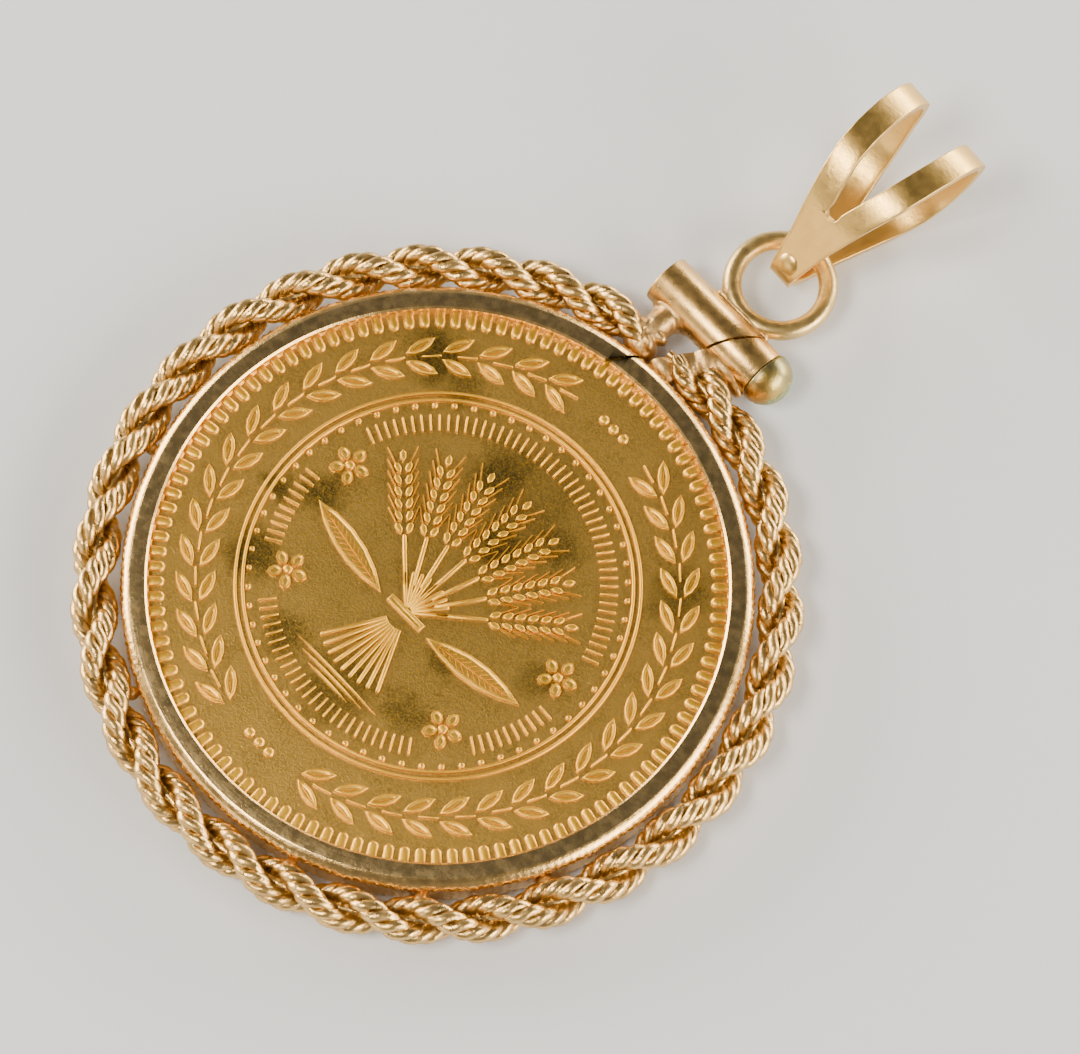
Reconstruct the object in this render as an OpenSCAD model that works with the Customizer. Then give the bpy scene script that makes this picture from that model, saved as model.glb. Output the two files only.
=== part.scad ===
// Coin pendant: a coin in a split rim with a rope border, a screw tube, a jump ring and a bail.
// Lengths are in millimetres. The pendant lies face up on its back, and the origin is the middle of
// its footprint. Z is up, Y runs from the coin towards the bail, and X runs along the screw tube to
// the screw's head. The coin's axis is at x = 0, y = coin_y. The modules are drawn with the coin's
// axis at the origin, and at_coin moves them to their place.

/* [Coin] */
// Diameter of the coin
coin_d = 22; // [20:0.1:25]
// Thickness of the coin at its raised edge
coin_edge_t = 1.34; // [1.2:0.02:1.8]
// Width of the raised edge
coin_edge_w = 0.6; // [0.4:0.05:1]
// Depth of the field below the raised edge
field_depth = 0.15; // [0.1:0.01:0.2]
// Height of the design above the field
relief_h = 0.12; // [0.06:0.01:0.15]
// Number of denticles round the edge
denticle_count = 112; // [80:1:130]
// Length of a denticle, with the stretch that runs into the edge
denticle_len = 0.85; // [0.6:0.05:1.1]
// Width of a denticle
denticle_w = 0.32; // [0.2:0.02:0.4]
// Middle radius of the laurel wreath
wreath_r = 8.75; // [8.5:0.05:8.9]
// Leaf pairs on each of the wreath's two branches
wreath_pairs = 18; // [10:1:19]
// Length of a laurel leaf
laurel_len = 1.3; // [0.8:0.05:1.4]
// Width of a laurel leaf
laurel_w = 0.46; // [0.3:0.02:0.5]
// Radius of the outer ring line
ring_line_r = 7.4; // [7.2:0.05:7.5]
// Width of a ring line
ring_line_w = 0.14; // [0.08:0.01:0.18]
// Step from the outer ring line to the inner one
ring_line_step = 0.27; // [0.2:0.01:0.35]
// Number of beads inside the ring lines
bead_count = 60; // [30:1:72]
// Diameter of a bead
bead_d = 0.24; // [0.15:0.01:0.3]
// Number of wheat ears in the sheaf
ear_count = 7; // [3:2:7]
// Length of a wheat ear
ear_len = 3; // [2:0.1:3.2]
// Pairs of grains on an ear
grain_pairs = 6; // [4:1:7]
// Length of the straw between the tie and an ear
straw_len = 3; // [2:0.1:3.2]
// Width of a straw
straw_w = 0.16; // [0.1:0.01:0.2]
// Diameter of a small flower
flower_d = 1.5; // [1:0.05:1.6]

/* [Rim] */
// Height of the rim, from its back to its front lip
rim_h = 1.9; // [1.8:0.05:2.4]
// Thickness of each lip over the coin's edge
lip_t = 0.25; // [0.2:0.01:0.35]
// Width of the lip over the coin, from the coin's edge inwards
lip_w = 0.5; // [0.3:0.05:0.8]
// Thickness of the rim's outer wall
rim_wall = 0.45; // [0.35:0.05:0.8]
// Width and drop of the rim's outer bevel
rim_bevel = 0.3; // [0.1:0.02:0.34]
// Clearance round the coin and above and below it
coin_gap = 0.03; // [0.01:0.01:0.08]
// Width of the saw cut that splits the rim and the tube
cut_w = 0.1; // [0.06:0.01:0.2]
// Angle of the saw cut from the Y axis
cut_angle = 33; // [26:1:36]
// Distance from the tube's middle to where the saw cut crosses the tube's axis
cut_x = 0.6; // [0.3:0.05:0.8]

/* [Rope] */
// Overall diameter of the rope border
rope_d = 1.76; // [1.4:0.02:1.9]
// Thickness of one strand, across the seam between the two strands
strand_t = 0.84; // [0.6:0.02:0.84]
// Width of one strand, along that seam
strand_w = 1.04; // [0.86:0.02:1.1]
// Turns of the rope in a full circle
rope_turns = 16; // [10:1:20]
// Angle of the first strand's section on the X axis
rope_phase = 122; // [0:1:180]
// Unevenness of the rope's lay round the coin, as an angle of the section
rope_swing = 24; // [0:1:40]
// Clearance between the rope and the rim, and between the rope's ends and the webs
rope_gap = 0.07; // [0.04:0.01:0.15]

/* [Screw tube] */
// Outer diameter of the tube
tube_d = 1.96; // [1.6:0.05:2.1]
// Diameter of the tube's bore
bore_d = 1.2; // [0.8:0.05:1.4]
// Length of the tube to the left of the pendant's axis
tube_left = 3.1; // [2.8:0.05:4]
// Length of the tube to the right of the pendant's axis
tube_right = 2.05; // [1.6:0.05:2.6]
// Height of the tube's axis above the back of the rim
tube_z = 1.06; // [1.03:0.01:1.2]
// Gap between the rope border and the tube
tube_clear = 0.03; // [0.02:0.01:0.3]
// Width of the solder web on each side of the cut
web_w = 0.75; // [0.4:0.05:0.9]
// Distance of the left solder web from the cut
web_from_cut = 0.7; // [0.3:0.05:1]
// Thickness of the solder webs
web_t = 1.3; // [0.8:0.05:1.5]

/* [Closure screw] */
// Diameter of the domed head
head_d = 2.06; // [1.7:0.05:2.1]
// Length of the head's straight part
head_straight = 0.2; // [0.1:0.05:0.5]
// Height of the head's dome
dome_h = 0.92; // [0.5:0.02:0.95]
// Clearance between the shank and the bore
shank_gap = 0.05; // [0.02:0.01:0.08]
// Gap between the head and the end of the tube
head_gap = 0.03; // [0.02:0.01:0.1]
// Distance that the shank ends inside the tube's left end
shank_inset = 0.5; // [0.2:0.05:1]

/* [Jump ring] */
// Outer diameter of the jump ring
jump_ring_d = 4.28; // [3.8:0.02:5]
// Diameter of the jump ring's wire
jump_wire_d = 0.72; // [0.6:0.02:0.85]
// Depth to which the ring is let into the tube's solder
jump_let_in = 0.2; // [0.15:0.01:0.35]
// Distance of the jump ring to the left of the pendant's axis
jump_ring_left = 0.02; // [0:0.01:0.2]

/* [Bail] */
// Length of the bail as it lies
bail_len = 7.95; // [7.4:0.05:9]
// Height of the bail as it lies
bail_h = 5.5; // [5:0.1:6.5]
// Thickness of the sheet
sheet_t = 0.35; // [0.25:0.01:0.4]
// Width of the bail at its closed tip
tip_w = 1; // [0.8:0.02:1.3]
// Width over the two loops
loops_w = 4.16; // [3.6:0.1:5]
// Width of one loop
loop_w = 1.05; // [0.8:0.02:1.3]
// Distance from the tip to the bottom of the notch between the loops
notch_start = 2.9; // [2.6:0.1:3.8]
// Radius of the notch's bottom
notch_r = 0.27; // [0.15:0.01:0.4]
// Slope of the bail's face, from the tip up to the loops
bail_pitch = 24; // [15:1:30]
// Turn of the bail to the right
bail_yaw = 2.9; // [0:0.1:6]
// Lean of the bail to the right
bail_roll = 3; // [0:0.5:6]
// Distance of the bail's tip from the jump ring's inner edge, at the tube's side
tip_from_ring = 1.6; // [1.5:0.05:1.8]
// Distance of the bail's tip to the left of the pendant's axis
tip_left = 0.33; // [0:0.01:0.5]
// Radius of the small dome on the tip
pip_r = 0.3; // [0.2:0.02:0.4]

/* [Hidden] */
$fn = 96;

// Colours, as seen
coin_colour = "#d8a52e";
mount_colour = "#c79a66";
rope_colour = "#cf9f68";
screw_colour = "#a9924f";
bail_colour = "#d3ac6c";

// Rim and coin
coin_r = coin_d / 2;
channel_r = coin_r + coin_gap;
rim_r = channel_r + rim_wall;
opening_r = coin_r - lip_w;
channel_z0 = lip_t;
channel_z1 = rim_h - lip_t;
coin_mid_z = rim_h / 2;
coin_z0 = coin_mid_z - coin_edge_t / 2;
coin_z1 = coin_mid_z + coin_edge_t / 2;
field_z0 = coin_z0 + field_depth;
field_z1 = coin_z1 - field_depth;
edge_slope = 0.1;
sunk = 0.05;

// Rope
rope_r = rim_r + rope_gap + rope_d / 2;
rope_z = tube_z;
strand_offset = (rope_d - strand_t) / 2;
rope_outer_r = rope_r + rope_d / 2;
strand_sides = 10;
rings_a_turn = 10;
swing_at = 10;
chord = 0.2;

// Tube, its webs and the cut
tube_r = tube_d / 2;
tube_y = rope_outer_r + tube_clear + tube_r;
over = 1;
web_z0 = rope_z - web_t / 2;
web_y = sqrt(pow(channel_r, 2) - pow(web_from_cut + web_w + tube_r, 2));
left_web_right = cut_x_at(rope_r) - web_from_cut;
left_web_left = left_web_right - web_w;
right_web_foot = [cut_x_at(web_y), cut_x_at(web_y) + web_w];
right_web_head = [cut_x_at(tube_y), cut_x_at(tube_y) + web_w];
cut_foot_y = opening_r - over;
cut_head_y = tube_y + tube_r + jump_let_in;
rope_end_room = strand_w / 2 + rope_gap;
rope_start = atan2(rope_r, cut_x_at(rope_outer_r) + web_w + rope_end_room);
rope_end = atan2(rope_r, left_web_left - rope_end_room) - 360;

// Screw
shank_r = bore_d / 2 - shank_gap;
head_r = head_d / 2;
dome_r = (pow(head_r, 2) + pow(dome_h, 2)) / (2 * dome_h);

// Jump ring
jump_wire_r = jump_wire_d / 2;
jump_r = (jump_ring_d - jump_wire_d) / 2;
jump_y = tube_y + tube_r - jump_let_in + jump_ring_d / 2;
tip_y = jump_y - jump_r + jump_wire_r + tip_from_ring;

// Place of the coin in the frame, which puts the origin in the middle of the footprint
footprint_end = tip_y + bail_len * cos(bail_yaw) + loops_w / 2 * sin(bail_yaw);
coin_y = (rope_outer_r - footprint_end) / 2;

// Bail: the side outline as shares of bail_len and bail_h
tip_mid = 0.22;
bail_outline = [
    // along, up
    [0.022, 0.122], [0.098, 0.045], [0.232, 0.007], [0.402, 0.000], [0.561, 0.004], [0.695, 0.060],
    [0.817, 0.182], [0.915, 0.364], [0.982, 0.536], [1.000, 0.673], [0.957, 0.800], [0.866, 0.909],
    [0.720, 0.985], [0.561, 0.996], [0.421, 0.924], [0.280, 0.764], [0.146, 0.536], [0.043, 0.355],
    [0.006, 0.270], [0.000, 0.195]
];
// Length of the face along its slope, and its widening along it, both as shares
face_len = 1.1 * bail_len;
bail_widths = [
    // along, widening from the tip's width to the loops' width
    [0, 0], [0.19, 0.21], [0.34, 0.44], [0.48, 0.65], [0.59, 0.8], [0.71, 0.9], [0.82, 0.97], [0.93, 1]
];
pip_at_point = 17;
pip_sunk = 0.1;
lowest_share = 0.55;
spline_steps = 3;

// X of the saw cut at a height y
function cut_x_at(y) = cut_x + (y - tube_y) * tan(cut_angle);

// A point at a radius and an angle
function polar(r, a) = [r * cos(a), r * sin(a)];

// Points moved and turned
function placed(points, at, turn) =
    [for (p = points) at + [p[0] * cos(turn) - p[1] * sin(turn), p[0] * sin(turn) + p[1] * cos(turn)]];

// A pointed leaf along X, centred
function leaf(length, width, n = 3) = let (
    r = (pow(length, 2) + pow(width, 2)) / (4 * width),
    a = asin(length / 2 / r)
) [
    for (i = [0 : n - 1]) let (t = -a + 2 * a * i / n) [r * sin(t), width / 2 - r + r * cos(t)],
    for (i = [0 : n - 1]) let (t = -a + 2 * a * i / n) [-r * sin(t), r - width / 2 - r * cos(t)]
];

// A straight bar along X from the origin, with a round far end
function bar(length, width, n = 2) = [
    [0, -width / 2],
    for (i = [0 : n]) [length - width / 2, 0] + polar(width / 2, -90 + 180 * i / n),
    [0, width / 2]
];

// A small round spot
function spot(d, n = 8) = [for (i = [0 : n - 1]) polar(d / 2, (i + 0.5) * 360 / n)];

// Indices of each outline in a joined list of outlines
function joined_paths(outlines, i = 0, from = 0) = i == len(outlines) ? [] : concat(
    [[for (k = [0 : len(outlines[i]) - 1]) from + k]],
    joined_paths(outlines, i + 1, from + len(outlines[i]))
);

// Catmull-Rom point between b and c
function spline(a, b, c, d, t) = 0.5 * (2 * b + (c - a) * t + (2 * a - 5 * b + 4 * c - d) * pow(t, 2)
    + (3 * b - a - 3 * c + d) * pow(t, 3));

// Closed smooth curve through points
function closed_curve(p, steps) = let (n = len(p)) [
    for (i = [0 : n - 1], k = [0 : steps - 1])
        spline(p[(i + n - 1) % n], p[i], p[(i + 1) % n], p[(i + 2) % n], k / steps)
];

// A closed curve moved inwards by d, for a curve that runs anticlockwise
function inset(p, d) = let (n = len(p)) [
    for (i = [0 : n - 1]) let (u = unit(p[(i + 1) % n] - p[(i + n - 1) % n])) p[i] + d * [-u[1], u[0]]
];

// Denticles, from the raised edge inwards
denticles = [
    for (i = [0 : denticle_count - 1]) let (a = 360 * (i + 0.5) / denticle_count)
        placed(bar(denticle_len, denticle_w), polar(coin_r - coin_edge_w / 2, a), a + 180)
];

// Laurel wreath: two branches from the bottom to the top
wreath_gap = 12;
wreath_span = 180 - 2 * wreath_gap;
laurel_lean = 27;
laurel_out = 0.42;
wreath_end_d = 0.42;
wreath_end_step = 0.5;
wreath = [
    for (side = [-1, 1], i = [0 : wreath_pairs - 1], lean = [-1, 1])
        let (a = -90 + side * (wreath_gap + wreath_span * (i + 0.5) / wreath_pairs))
            placed(
                leaf(laurel_len, laurel_w),
                polar(wreath_r + lean * laurel_out, a),
                a + side * (90 - lean * laurel_lean)
            )
];
wreath_ends = [
    for (y = [-1, 1], x = [-1, 0, 1]) placed(spot(wreath_end_d), [x * wreath_end_step, y * wreath_r], 0)
];

// Wheat sheaf: ears above the tie, straws above and below it
tie_at = [0, -1.6];
tie_w = 1.7;
tie_h = 0.34;
ear_spread = 96;
foot_count = 9;
foot_spread = 56;
foot_len = 3.2;
grain_overlap = 1.25;
grain_l = grain_overlap * ear_len / (grain_pairs + 1);
grain_w = 0.3;
grain_lean = 24;
grain_out = 0.2;
straw_from_tie = 1.05;
foot_from_tie = 0.7;
function ear_angle(i) = 90 + ear_spread * (i / (ear_count - 1) - 0.5);
function foot_angle(i) = -90 + foot_spread * (i / (foot_count - 1) - 0.5);
ears = [
    for (i = [0 : ear_count - 1], k = [0 : grain_pairs - 1], side = [-1, 1])
        let (a = ear_angle(i), along = straw_len + ear_len * (k + 0.5) / (grain_pairs + 0.5)) placed(
            leaf(grain_l, grain_w),
            tie_at + polar(along, a) + polar(grain_out * side, a + 90),
            a + grain_lean * side
        )
];
ear_tips = [
    for (i = [0 : ear_count - 1]) let (a = ear_angle(i))
        placed(leaf(grain_l, grain_w), tie_at + polar(straw_len + ear_len, a), a)
];
straws = [
    for (i = [0 : ear_count - 1]) let (a = ear_angle(i))
        placed(bar(straw_len - straw_from_tie, straw_w), tie_at + polar(straw_from_tie, a), a)
];
feet = [
    for (i = [0 : foot_count - 1]) let (a = foot_angle(i))
        placed(bar(foot_len - foot_from_tie, straw_w), tie_at + polar(foot_from_tie, a), a)
];
tie = [
    placed([[-tie_w, -tie_h] / 2, [tie_w, -tie_h] / 2, [tie_w, tie_h] / 2, [-tie_w, tie_h] / 2], tie_at, 0)
];

// Two long leaves beside the tie, and two flowers on each side
blade_len = 3.6;
blade_w = 0.8;
blade_at = [3.1, -1.25];
blade_lean = 10;
blade_steps = 6;
blades = [
    for (side = [-1, 1])
        placed(leaf(blade_len, blade_w, blade_steps), [side * blade_at[0], blade_at[1]], blade_lean * side)
];
flower_places = [[-4.1, -3.6], [4.1, -3.6], [-5.5, 0.75], [5.5, 0.75]];
petal_count = 5;
petal_l = 0.36 * flower_d;
petal_w = 0.26 * flower_d;
petal_out = 0.34 * flower_d;
flower_eye_d = 0.28 * flower_d;
petals = [
    for (p = flower_places, i = [0 : petal_count - 1]) let (a = 90 + 360 * i / petal_count)
        placed(leaf(petal_l, petal_w), p + polar(petal_out, a), a)
];
flower_eyes = [for (p = flower_places) placed(spot(flower_eye_d), p, 0)];
bead_r = ring_line_r - 2 * ring_line_step;
bead_sides = 6;
beads = [
    for (i = [0 : bead_count - 1]) placed(spot(bead_d, bead_sides), polar(bead_r, 360 * i / bead_count), 0)
];

// Bail curves in the lying frame, from the tip
bail_outer = [for (p = closed_curve(bail_outline, spline_steps)) [p[0] * bail_len, max(0, p[1]) * bail_h]];
bail_inner = inset(bail_outer, sheet_t);
function bail_half_width(share) = tip_w / 2 + (loops_w - tip_w) / 2 * lookup(share, bail_widths);
face_stations = [-0.1 : 0.1 : 1.15];
notch_top = notch_start + notch_r;
bail_side = [for (share = face_stations) [bail_half_width(share), share * face_len]];
notch_side = [for (p = bail_side) if (p[0] - loop_w > notch_r && p[1] > notch_top) p - [loop_w, 0]];
pip_at = bail_outer[pip_at_point * spline_steps];
// Height that the lean gives to the bail's middle, so that its low edge rests at the rim's back
bail_lift = bail_half_width(lowest_share) * sin(bail_roll);

// Centre line of a strand at an angle round the coin, and the strand's outward direction
function unit(v) = v / norm(v);
function strand_turn(a, phase) = phase + rope_swing * cos(a - swing_at) - rope_turns * a;
function strand_centre(a, phase) = let (t = strand_turn(a, phase), r = rope_r + strand_offset * cos(t))
    [r * cos(a), r * sin(a), rope_z + strand_offset * sin(t)];

// Radius of the strand's oval section, at an angle from the seam's normal
function oval_r(t) = 1 / norm([2 * cos(t) / strand_t, 2 * sin(t) / strand_w]);

// One section across a strand. Its corners don't turn with the strand, so that the skin stays smooth.
function strand_ring(a, phase) = let (
    along = unit(strand_centre(a - chord, phase) - strand_centre(a + chord, phase)),
    outward = [cos(a), sin(a), 0],
    n1 = unit(outward - (outward * along) * along),
    n2 = cross(along, n1)
) [
    for (k = [0 : strand_sides - 1]) let (t = 360 * k / strand_sides)
        strand_centre(a, phase) + oval_r(t - strand_turn(a, phase)) * (cos(t) * n1 + sin(t) * n2)
];

module relief(outlines) {
    translate([0, 0, field_z1 - sunk])
        linear_extrude(height = relief_h + sunk)
            polygon(points = [for (o = outlines, p = o) p], paths = joined_paths(outlines));
}

module ring_line(r) {
    rotate_extrude()
        translate([r - ring_line_w / 2, field_z1 - sunk])
            square([ring_line_w, relief_h + sunk]);
}

module coin() {
    color(coin_colour) {
        rotate_extrude()
            polygon([
                [0, field_z0], [coin_r - coin_edge_w - edge_slope, field_z0], [coin_r - coin_edge_w, coin_z0],
                [coin_r, coin_z0], [coin_r, coin_z1], [coin_r - coin_edge_w, coin_z1],
                [coin_r - coin_edge_w - edge_slope, field_z1], [0, field_z1]
            ]);
        relief(concat(
            denticles, wreath, wreath_ends, ears, ear_tips, straws, feet, tie, blades, petals, flower_eyes, beads
        ));
        ring_line(ring_line_r);
        ring_line(ring_line_r - ring_line_step);
    }
}

module rim() {
    rotate_extrude()
        polygon([
            [opening_r, 0], [rim_r - rim_bevel, 0], [rim_r, rim_bevel], [rim_r, rim_h - rim_bevel],
            [rim_r - rim_bevel, rim_h], [opening_r, rim_h], [opening_r, channel_z1], [channel_r, channel_z1],
            [channel_r, channel_z0], [opening_r, channel_z0]
        ]);
}

module tube() {
    translate([-tube_left, tube_y, tube_z])
        rotate([0, 90, 0])
            cylinder(h = tube_left + tube_right, d = tube_d);
}

module tube_bore() {
    translate([-tube_left - over, tube_y, tube_z])
        rotate([0, 90, 0])
            cylinder(h = tube_left + tube_right + 2 * over, d = bore_d);
}

// A web of solder from the rim to the tube, with its left and right ends at each
module web(foot, head) {
    translate([0, 0, web_z0])
        linear_extrude(height = web_t)
            polygon([[foot[0], web_y], [foot[1], web_y], [head[1], tube_y], [head[0], tube_y]]);
}

module saw_cut() {
    translate([0, 0, -over])
        linear_extrude(height = rim_h + tube_d + 2 * over)
            polygon([
                [cut_x_at(cut_foot_y) - cut_w / 2, cut_foot_y], [cut_x_at(cut_foot_y) + cut_w / 2, cut_foot_y],
                [cut_x_at(cut_head_y) + cut_w / 2, cut_head_y], [cut_x_at(cut_head_y) - cut_w / 2, cut_head_y]
            ]);
}

module jump_ring() {
    translate([-jump_ring_left, jump_y, tube_z])
        rotate_extrude()
            translate([jump_r, 0])
                circle(r = jump_wire_r);
}

module bezel_mount() {
    color(mount_colour)
        difference() {
            union() {
                rim();
                tube();
                web([left_web_left, left_web_right], [left_web_left, left_web_right]);
                web(right_web_foot, right_web_head);
                jump_ring();
            }
            translate([0, 0, channel_z0])
                cylinder(h = channel_z1 - channel_z0, r = channel_r);
            tube_bore();
            saw_cut();
        }
}

module strand(phase) {
    count = ceil(rings_a_turn * rope_turns * (rope_start - rope_end) / 360);
    n = strand_sides;
    rings = [for (i = [0 : count]) strand_ring(rope_start + (rope_end - rope_start) * i / count, phase)];
    color(rope_colour)
        polyhedron(
            points = [for (ring = rings, p = ring) p],
            faces = concat(
                [for (k = [1 : n - 2]) [0, k, k + 1]],
                [for (k = [1 : n - 2]) [count * n, count * n + k + 1, count * n + k]],
                [
                    for (i = [0 : count - 1], k = [0 : n - 1]) let (a = i * n, b = a + n, next = (k + 1) % n)
                        each [[a + k, b + k, b + next], [a + k, b + next, a + next]]
                ]
            )
        );
}

module rope_strand_1() {
    strand(rope_phase);
}

module rope_strand_2() {
    strand(rope_phase + 180);
}

module closure_screw() {
    color(screw_colour)
        translate([tube_right + head_gap, tube_y, tube_z])
            rotate([0, 90, 0]) {
                cylinder(h = head_straight, r = head_r);
                intersection() {
                    translate([0, 0, head_straight + dome_h - dome_r])
                        sphere(r = dome_r);
                    translate([0, 0, head_straight - sunk])
                        cylinder(h = dome_h + 2 * sunk, r = head_r);
                }
                translate([0, 0, -(tube_left + tube_right + head_gap - shank_inset)])
                    cylinder(h = tube_left + tube_right + head_gap, r = shank_r);
            }
}

// The bent sheet, seen from the side, run through the whole width
module bail_band() {
    translate([-loops_w, 0, 0])
        rotate([90, 0, 90])
            linear_extrude(height = 2 * loops_w)
                difference() {
                    polygon(bail_outer);
                    polygon(bail_inner);
                }
}

// An outline along Y and its mirror image, as one polygon
module both_sides(half) {
    polygon(concat(half, [for (i = [len(half) - 1 : -1 : 0]) [-half[i][0], half[i][1]]]));
}

// The bail's face: narrow at the tip, wide over the loops, with the notch taken out
module bail_face() {
    difference() {
        both_sides(bail_side);
        translate([0, notch_top])
            circle(r = notch_r);
        both_sides(concat([[notch_r, notch_top]], notch_side));
    }
}

module bail_body() {
    intersection() {
        bail_band();
        translate([0, 0, tip_mid * bail_h])
            rotate([bail_pitch, 0, 0])
                translate([0, 0, -bail_h])
                    linear_extrude(height = 2 * bail_h)
                        bail_face();
    }
    translate([0, pip_at[0] + pip_sunk, pip_at[1] - pip_sunk])
        sphere(r = pip_r);
}

module bail() {
    color(bail_colour)
        translate([-tip_left, tip_y, bail_lift])
            rotate([0, bail_roll, -bail_yaw])
                bail_body();
}

// From the modules' own frame to the part's frame
module at_coin() {
    translate([0, coin_y, 0])
        children();
}

at_coin() coin();
at_coin() bezel_mount();
at_coin() rope_strand_1();
at_coin() rope_strand_2();
at_coin() closure_screw();
at_coin() bail();
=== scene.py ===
"""Looks of a coin pendant that lies face up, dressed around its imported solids.

Pieces are modelled in millimetres, with the coin's centre at the origin and the rim's back at z = 0.
The bench then puts each one in its place in the frame, in metres. X runs along the screw tube to the
screw's head, Y from the coin to the bail, and Z is up.
"""
from __future__ import annotations

import logging
import math
from dataclasses import dataclass, field
from enum import Enum
from typing import Iterable, Iterator, Sequence

import bmesh
import bpy
from mathutils import Matrix, Vector, noise

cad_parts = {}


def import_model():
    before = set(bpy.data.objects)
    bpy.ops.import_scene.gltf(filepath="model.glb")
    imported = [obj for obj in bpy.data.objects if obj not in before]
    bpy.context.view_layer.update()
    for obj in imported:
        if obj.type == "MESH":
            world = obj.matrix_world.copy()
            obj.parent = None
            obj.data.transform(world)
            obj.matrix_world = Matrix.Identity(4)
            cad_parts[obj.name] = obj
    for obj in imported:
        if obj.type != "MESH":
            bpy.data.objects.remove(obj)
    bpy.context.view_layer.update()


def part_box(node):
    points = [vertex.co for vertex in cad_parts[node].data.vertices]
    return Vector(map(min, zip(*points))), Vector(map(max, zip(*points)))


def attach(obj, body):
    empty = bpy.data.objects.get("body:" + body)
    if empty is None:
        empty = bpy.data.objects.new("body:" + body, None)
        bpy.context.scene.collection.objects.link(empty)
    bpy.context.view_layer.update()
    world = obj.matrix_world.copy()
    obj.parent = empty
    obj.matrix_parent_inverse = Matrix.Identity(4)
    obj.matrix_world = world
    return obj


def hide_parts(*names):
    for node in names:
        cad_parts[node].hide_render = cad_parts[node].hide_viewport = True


LOG = logging.getLogger("pendant")
MM = 0.001
FULL_TURN = 360.0
ROUNDED = 60.0  # rounded pieces keep only edges sharper than this, in degrees
RUN_RADIUS = 11.0  # where scratches round the coin are measured
FLAT = Vector((1, 1, 0))
PAINTED_SHADE = "painted_shade"  # the mesh value that marks painted shade in crevices and the saw cut
Pair = tuple[float, float]
Triple = tuple[float, float, float]
Point = Pair
Colour = Triple
Steps = tuple[Pair, ...]
Socket = bpy.types.NodeSocket


class Slot(Enum):
    """The record's material slots."""

    COIN = "coin_gold"
    MOUNT = "mount_gold"
    ROPE = "rope_gold"
    SCREW = "screw_brass"
    BAIL = "bail_gold"


class Side(Enum):
    """Which side of the saw cut a piece of the mount is on."""

    LEFT = -1
    RIGHT = 1


# Small geometry


def polar(radius: float, degrees: float, z: float = 0.0) -> Vector:
    """Give the point at a radius, an angle and a height."""
    angle = math.radians(degrees)
    return Vector((radius * math.cos(angle), radius * math.sin(angle), z))


def smooth_between(points: Sequence[Point], steps: int) -> list[Vector]:
    """Run a closed smooth curve through points.

    Args:
        points: The points, in order round the curve.
        steps: Stretches between one point and the next.

    Returns:
        The curve's points.
    """
    count = len(points)
    knots = [Vector(p) for p in points]
    curve = []
    for i, step in ((i, step) for i in range(count) for step in range(steps)):
        a, b, c, d = (knots[(i + k) % count] for k in (-1, 0, 1, 2))
        t = step / steps
        curve.append(
            0.5 * (2 * b + (c - a) * t + (2 * a - 5 * b + 4 * c - d) * t**2 + (3 * b - a - 3 * c + d) * t**3)
        )
    return curve


def looked_up(table: Sequence[Point], x: float) -> float:
    """Read a table of (x, value) rows at x, in straight lines between its rows.

    Args:
        table: The rows, by rising x.
        x: Where to read it.

    Returns:
        The value there.
    """
    if x <= table[0][0]:
        return table[0][1]
    for (x0, v0), (x1, v1) in zip(table, table[1:]):
        if x <= x1:
            return v0 + (v1 - v0) * (x - x0) / (x1 - x0)
    return table[-1][1]


def leaf_outline(length: float, width: float, steps: int = 6) -> list[Vector]:
    """Outline a pointed leaf along X, centred, anticlockwise.

    Args:
        length: From point to point.
        width: At the middle.
        steps: Stretches along each side.

    Returns:
        The outline's points.
    """
    radius = (length**2 + width**2) / (4 * width)
    half = math.asin(length / 2 / radius)
    side = []
    for i in range(steps):
        turn = -half + 2 * half * i / steps
        side.append(Vector((radius * math.sin(turn), radius - width / 2 - radius * math.cos(turn))))
    return side + [-p for p in side]


def bar_outline(length: float, width: float, steps: int = 6) -> list[Vector]:
    """Outline a bar along X from the origin with a round far end, anticlockwise.

    Args:
        length: From end to end.
        width: Across the bar.
        steps: Stretches round the far end.

    Returns:
        The outline's points.
    """
    centre = Vector((length - width / 2, 0))
    end = [centre + polar(width / 2, -90 + 180 * i / steps).to_2d() for i in range(steps + 1)]
    return [Vector((0, -width / 2)), *end, Vector((0, width / 2))]


def spot_outline(diameter: float, sides: int = 10) -> list[Vector]:
    """Outline a round spot, anticlockwise."""
    return [polar(diameter / 2, FULL_TURN * i / sides).to_2d() for i in range(sides)]


# Mesh shaping


def merge_close(bm: bmesh.types.BMesh, distance: float = 1e-4) -> None:
    """Merge doubled points and turn every face outwards."""
    bmesh.ops.remove_doubles(bm, verts=bm.verts[:], dist=distance)
    bmesh.ops.recalc_face_normals(bm, faces=bm.faces[:])


def spin_profile(
    profile: Sequence[Point], steps: int, closed: bool = False, axis: Vector = Vector((0, 0, 1))
) -> bmesh.types.BMesh:
    """Spin a profile a full turn round an axis through the origin.

    Args:
        profile: (radius, height) points. Heights run along the axis.
        steps: Stretches round the turn.
        closed: Whether the profile's last point joins its first.
        axis: Z or X.

    Returns:
        The spun mesh.
    """
    bm = bmesh.new()
    along_x = axis.x > 0.5
    verts = [bm.verts.new((h, r, 0) if along_x else (r, 0, h)) for r, h in profile]
    pairs = list(zip(verts, verts[1:])) + ([(verts[-1], verts[0])] if closed else [])
    edges = [bm.edges.new(pair) for pair in pairs]
    bmesh.ops.spin(
        bm, geom=verts + edges, cent=(0, 0, 0), axis=axis, angle=math.tau, steps=steps, use_merge=True
    )
    merge_close(bm)
    return bm


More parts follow.
